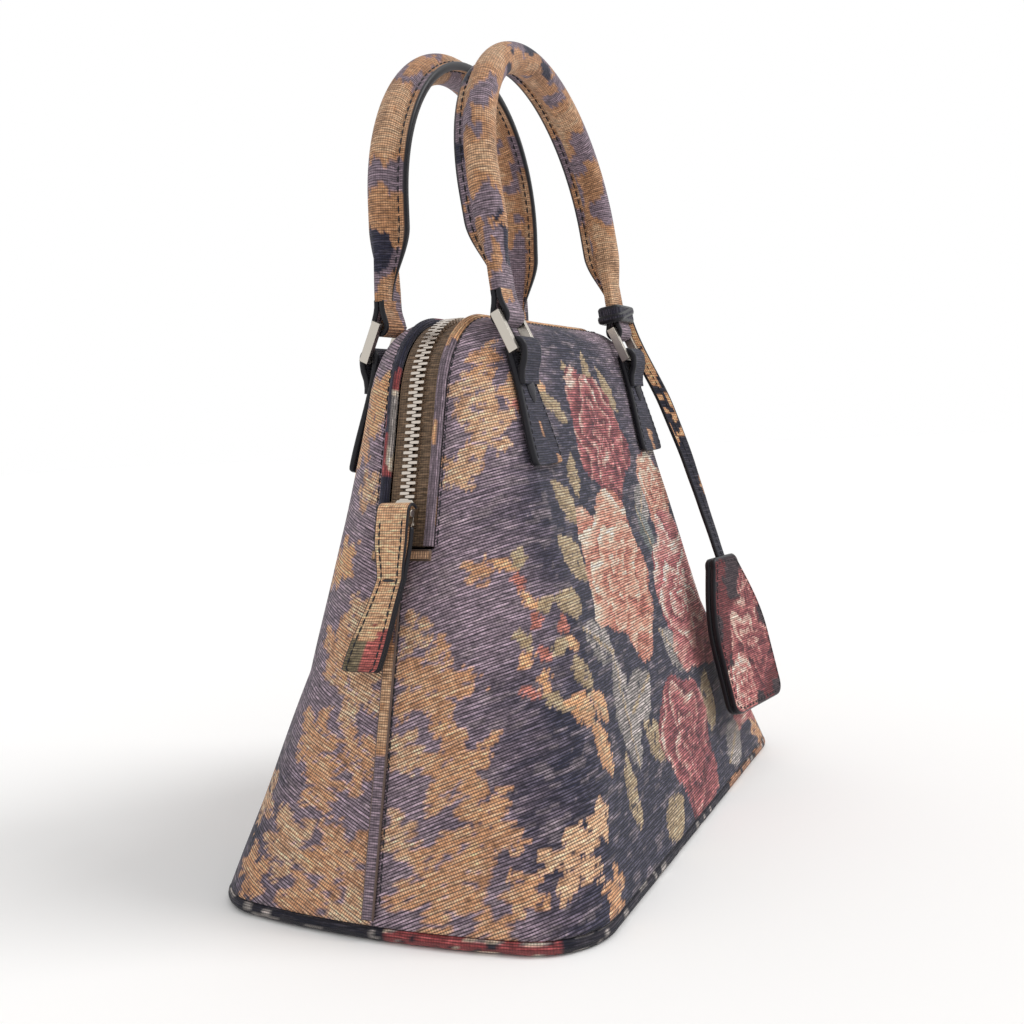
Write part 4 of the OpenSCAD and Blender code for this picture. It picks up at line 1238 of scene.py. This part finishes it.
def tag_strap():
    """The tag's strap, which turns as it hangs from the knot into the tag. Gives it with its path."""
    count = 130
    tuck = STRAP_TUCK * unit(STRAP_ROUTE[-1] - STRAP_ROUTE[-2])
    route = np.concatenate([STRAP_ROUTE, [STRAP_ROUTE[-1] + tuck]])
    s = path_lengths(route)
    t = np.linspace(0, s[-1], count)
    path = points_at(t, s, route)
    for _ in range(60):
        path[1:-1] = (path[:-2] + 2 * path[1:-1] + path[2:]) / 4
    angle = -STRAP_TURN_TOP + (STRAP_TURN_TOP - TAG_TURN) * smooth(t / s[-1])
    across = np.stack([np.cos(angle), np.sin(angle), np.zeros(count)], axis=1)
    outward = unit(np.cross(across, unit(np.gradient(path, axis=0))))
    strap = ribbon("tag_strap_cloth", path, across, outward, TAG_STRAP_W, TAG_STRAP_T, "hang_tag",
                   tag_strap_print)
    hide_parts("tag_strap")
    for face, sign in (("in", -1), ("out", 1)):
        line = path + sign * TAG_STRAP_T / 2 * outward
        stitches(f"tag_strap_stitches_{face}", line, sign * outward, "hang_tag", TAG_STRAP_STITCH)
    return strap, path


def tag_outline(count=160):
    """Outline of the tag: a rounded bell with a flat foot."""
    w, neck = TAG_W / 2, TAG_NECK_W / 2
    top, foot = TAG_TOP_R, TAG_FOOT_R

    def arc(cx, cz, r, start):
        a = np.radians(np.linspace(start, start + 90, 12))
        return np.stack([cx + r * np.cos(a), cz + r * np.sin(a)], axis=1)

    t = np.linspace(0, 1, 24)
    flare = np.stack([neck + (w - neck) * np.sin(t * math.pi / 2), -top - TAG_FLARE * t], axis=1)
    outline = np.concatenate([
        arc(neck - top, -top, top, 0), arc(top - neck, -top, top, 90), flare * [-1, 1],
        arc(foot - w, foot - TAG_LEN, foot, 180), arc(w - foot, foot - TAG_LEN, foot, 270), flare[::-1],
    ])
    return resample(np.concatenate([outline, outline[:1]]), path_lengths(outline)[-1] / count)[:-1]


def tag_leaf(name, node, offset, sign):
    """One leaf of the tag: printed face, rounded painted edge. Offset is along the tag's outward side."""
    outline = tag_outline()
    centre = np.array([0, -TAG_LEN * 0.56])
    turn = Matrix.Rotation(-TAG_TURN, 3, "Z") @ Matrix.Rotation(-TAG_TILT, 3, "X")
    side, out, up = (np.array(turn @ Vector(v)) for v in ((1, 0, 0), (0, -1, 0), (0, 0, 1)))

    def shrunk(scale, height):
        """The outline drawn towards the leaf's middle, flat and in its place at a height on the leaf."""
        flat = centre + (outline - centre) * scale
        return flat, TAG_TOP + flat[:, :1] * side + flat[:, 1:] * up + (offset + sign * height) * out

    # Rings of points by scale and height: across the printed face, over the edge and under the leaf
    face = [(k / 26, LEAF_T) for k in range(1, 25)] + [(0.965, LEAF_T)]
    edge = [(0.985, LEAF_T - 0.25), (1.0, LEAF_T - 0.9), (1.0, 0.4), (0.985, 0.05), (0.7, 0.0), (0.1, 0.0)]
    points, colours, uv = [], [], []
    for number, (scale, height) in enumerate(face + edge):
        flat, placed = shrunk(scale, height)
        if number < len(face):
            colours.append(with_alpha(tag_print(flat[:, 0], flat[:, 1])))
        else:
            colours.append(np.tile(edge_paint(BLACK), (len(flat), 1)))
        points.append(placed)
        uv.append(flat)
    faces = tube_faces(len(points), len(outline))
    if sign < 0:
        faces = [f[::-1] for f in faces]
    leaf = new_mesh(name, np.concatenate(points), faces, TRIM, "hang_tag",
                    np.concatenate(colours), np.concatenate(uv))
    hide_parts(node)
    _, line = shrunk(0.93, LEAF_T)
    stitches(f"{name}_stitches", np.concatenate([line, line[:1]]), sign * out, "hang_tag", TAG_STITCH)
    return leaf


def knot():
    """The strap's loop: a thick band round the handle's end, the strap's fold over it and its short tail."""
    out, up = leaned(FRONT_LEAN)
    centre = UPPER_BAR + RING_HALF_PITCH * X_AXIS
    room = 2 * SEAT + KNOT_T
    plan = rounded_section(STRAP_W + room, END_T + room, KNOT_T / 2 + 0.4, 9)
    plan = resample(np.concatenate([plan, plan[:1]]), 0.9)
    normal = line_normals(plan)
    outward = normal[:, :1] * X_AXIS - normal[:, 1:] * out
    # Both wraps: width, how far it stands proud and how far it climbs across the strap
    for number, (width, proud, slope) in enumerate(((KNOT_H * 0.92, 0.0, 0.0), (KNOT_H * 0.45, 0.7, 3.4))):
        lift = KNOT_Z + KNOT_H / 2 + slope * plan[:, :1] / STRAP_W
        wide = plan + proud * normal
        path = centre + wide[:, :1] * X_AXIS - wide[:, 1:] * out + lift * up
        wrap = ribbon(f"tag_knot_wrap_{number + 1}", path, up, outward, width, KNOT_T, "front_handle",
                      knot_print)
        if number == 0:
            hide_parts("tag_knot")
    tail = resample(np.array([[11.5, 3.0, 6.2], [13.0, 1.5, 6.8], [14.6, 0.2, 7.6]]), 0.5)
    path = centre + tail[:, :1] * X_AXIS + tail[:, 1:2] * out + tail[:, 2:] * up
    stub = ribbon("tag_knot_tail", path, up, out, 4.6, 2.2, "front_handle", knot_print)


cord_piece, cord_path = tag_strap()
front_leaf = tag_leaf("tag_front_cloth", "tag_front_leaf", 0.05, 1)
back_leaf = tag_leaf("tag_back_cloth", "tag_back_leaf", -0.05, -1)
knot()
cord_length = float(path_lengths(cord_path)[-1] * MM)

# Metal pieces and the hidden base keep their solids

SOLID_LOOKS = {
    "zip_slider": NICKEL, "pull_pin": NICKEL, "front_zip_teeth": TEETH, "back_zip_teeth": TEETH,
    "base_panel": BASE_CLOTH, "base_board": BOARD,
}
for corner, _, _ in CORNERS:
    SOLID_LOOKS[f"{corner}_ring"] = NICKEL
for name, material in SOLID_LOOKS.items():
    nodes[name].data.materials.clear()
    nodes[name].data.materials.append(material)


# Stage: pale floor, soft studio light and the photograph's viewpoint

def floor():
    """A pale floor, which takes the shadow."""
    mesh = bpy.data.meshes.new("floor")
    corners = [(x * FLOOR_HALF, y * FLOOR_HALF, FLOOR_Z) for x, y in ((-1, -1), (1, -1), (1, 1), (-1, 1))]
    mesh.from_pydata(corners, [], [(0, 1, 2, 3)])
    mesh.materials.append(plain("pale floor", "#fbfaf9", 0.95))
    ground_plane = bpy.data.objects.new("floor", mesh)
    bpy.context.scene.collection.objects.link(ground_plane)


def studio():
    """A backdrop that is white to the eye and in the metal, and lights the bag less than that."""
    world = bpy.data.worlds.new("studio")
    world.use_nodes = True
    tree = world.node_tree
    background = tree.nodes["Background"]
    background.inputs["Color"].default_value = (1, 1, 1, 1)
    rays = tree.nodes.new("ShaderNodeLightPath")
    seen = rays.outputs["Is Camera Ray"]
    for kind in ("Is Glossy Ray", "Is Transmission Ray"):
        either = tree.nodes.new("ShaderNodeMath")
        either.operation = "MAXIMUM"
        tree.links.new(seen, either.inputs[0])
        tree.links.new(rays.outputs[kind], either.inputs[1])
        seen = either.outputs["Value"]
    strength = tree.nodes.new("ShaderNodeMapRange")
    strength.inputs["To Min"].default_value = WORLD_LIGHT
    strength.inputs["To Max"].default_value = 1.0
    tree.links.new(seen, strength.inputs["Value"])
    tree.links.new(strength.outputs["Result"], background.inputs["Strength"])
    bpy.context.scene.world = world


def window():
    """Soft light from the right of the camera, which throws the shadow to the left."""
    sun = bpy.data.lights.new("window", "SUN")
    sun.energy = SUN_ENERGY
    sun.angle = SUN_ANGLE
    light = bpy.data.objects.new("window", sun)
    light.rotation_euler = Vector(SUN_DIRECTION).to_track_quat("-Z", "Y").to_euler()
    bpy.context.scene.collection.objects.link(light)


def camera():
    """The photograph's viewpoint, as a camera fit gave it."""
    level = math.cos(CAMERA_PITCH)
    forward = Vector((math.cos(CAMERA_YAW) * level, math.sin(CAMERA_YAW) * level, -math.sin(CAMERA_PITCH)))
    right = forward.cross(Vector((0, 0, 1))).normalized()
    up = right.cross(forward)
    side = right * math.cos(CAMERA_ROLL) + up * math.sin(CAMERA_ROLL)
    top = -right * math.sin(CAMERA_ROLL) + up * math.cos(CAMERA_ROLL)
    data = bpy.data.cameras.new("camera")
    data.sensor_width = CAMERA_SENSOR
    data.lens = CAMERA_LENS
    data.dof.use_dof = False
    view = bpy.data.objects.new("camera", data)
    matrix = Matrix((side, top, -forward)).transposed().to_4x4()
    matrix.translation = Vector(CAMERA_AT)
    view.matrix_world = matrix
    bpy.context.scene.collection.objects.link(view)
    bpy.context.scene.camera = view


floor()
studio()
window()
camera()
bpy.context.scene.view_settings.view_transform = "Standard"
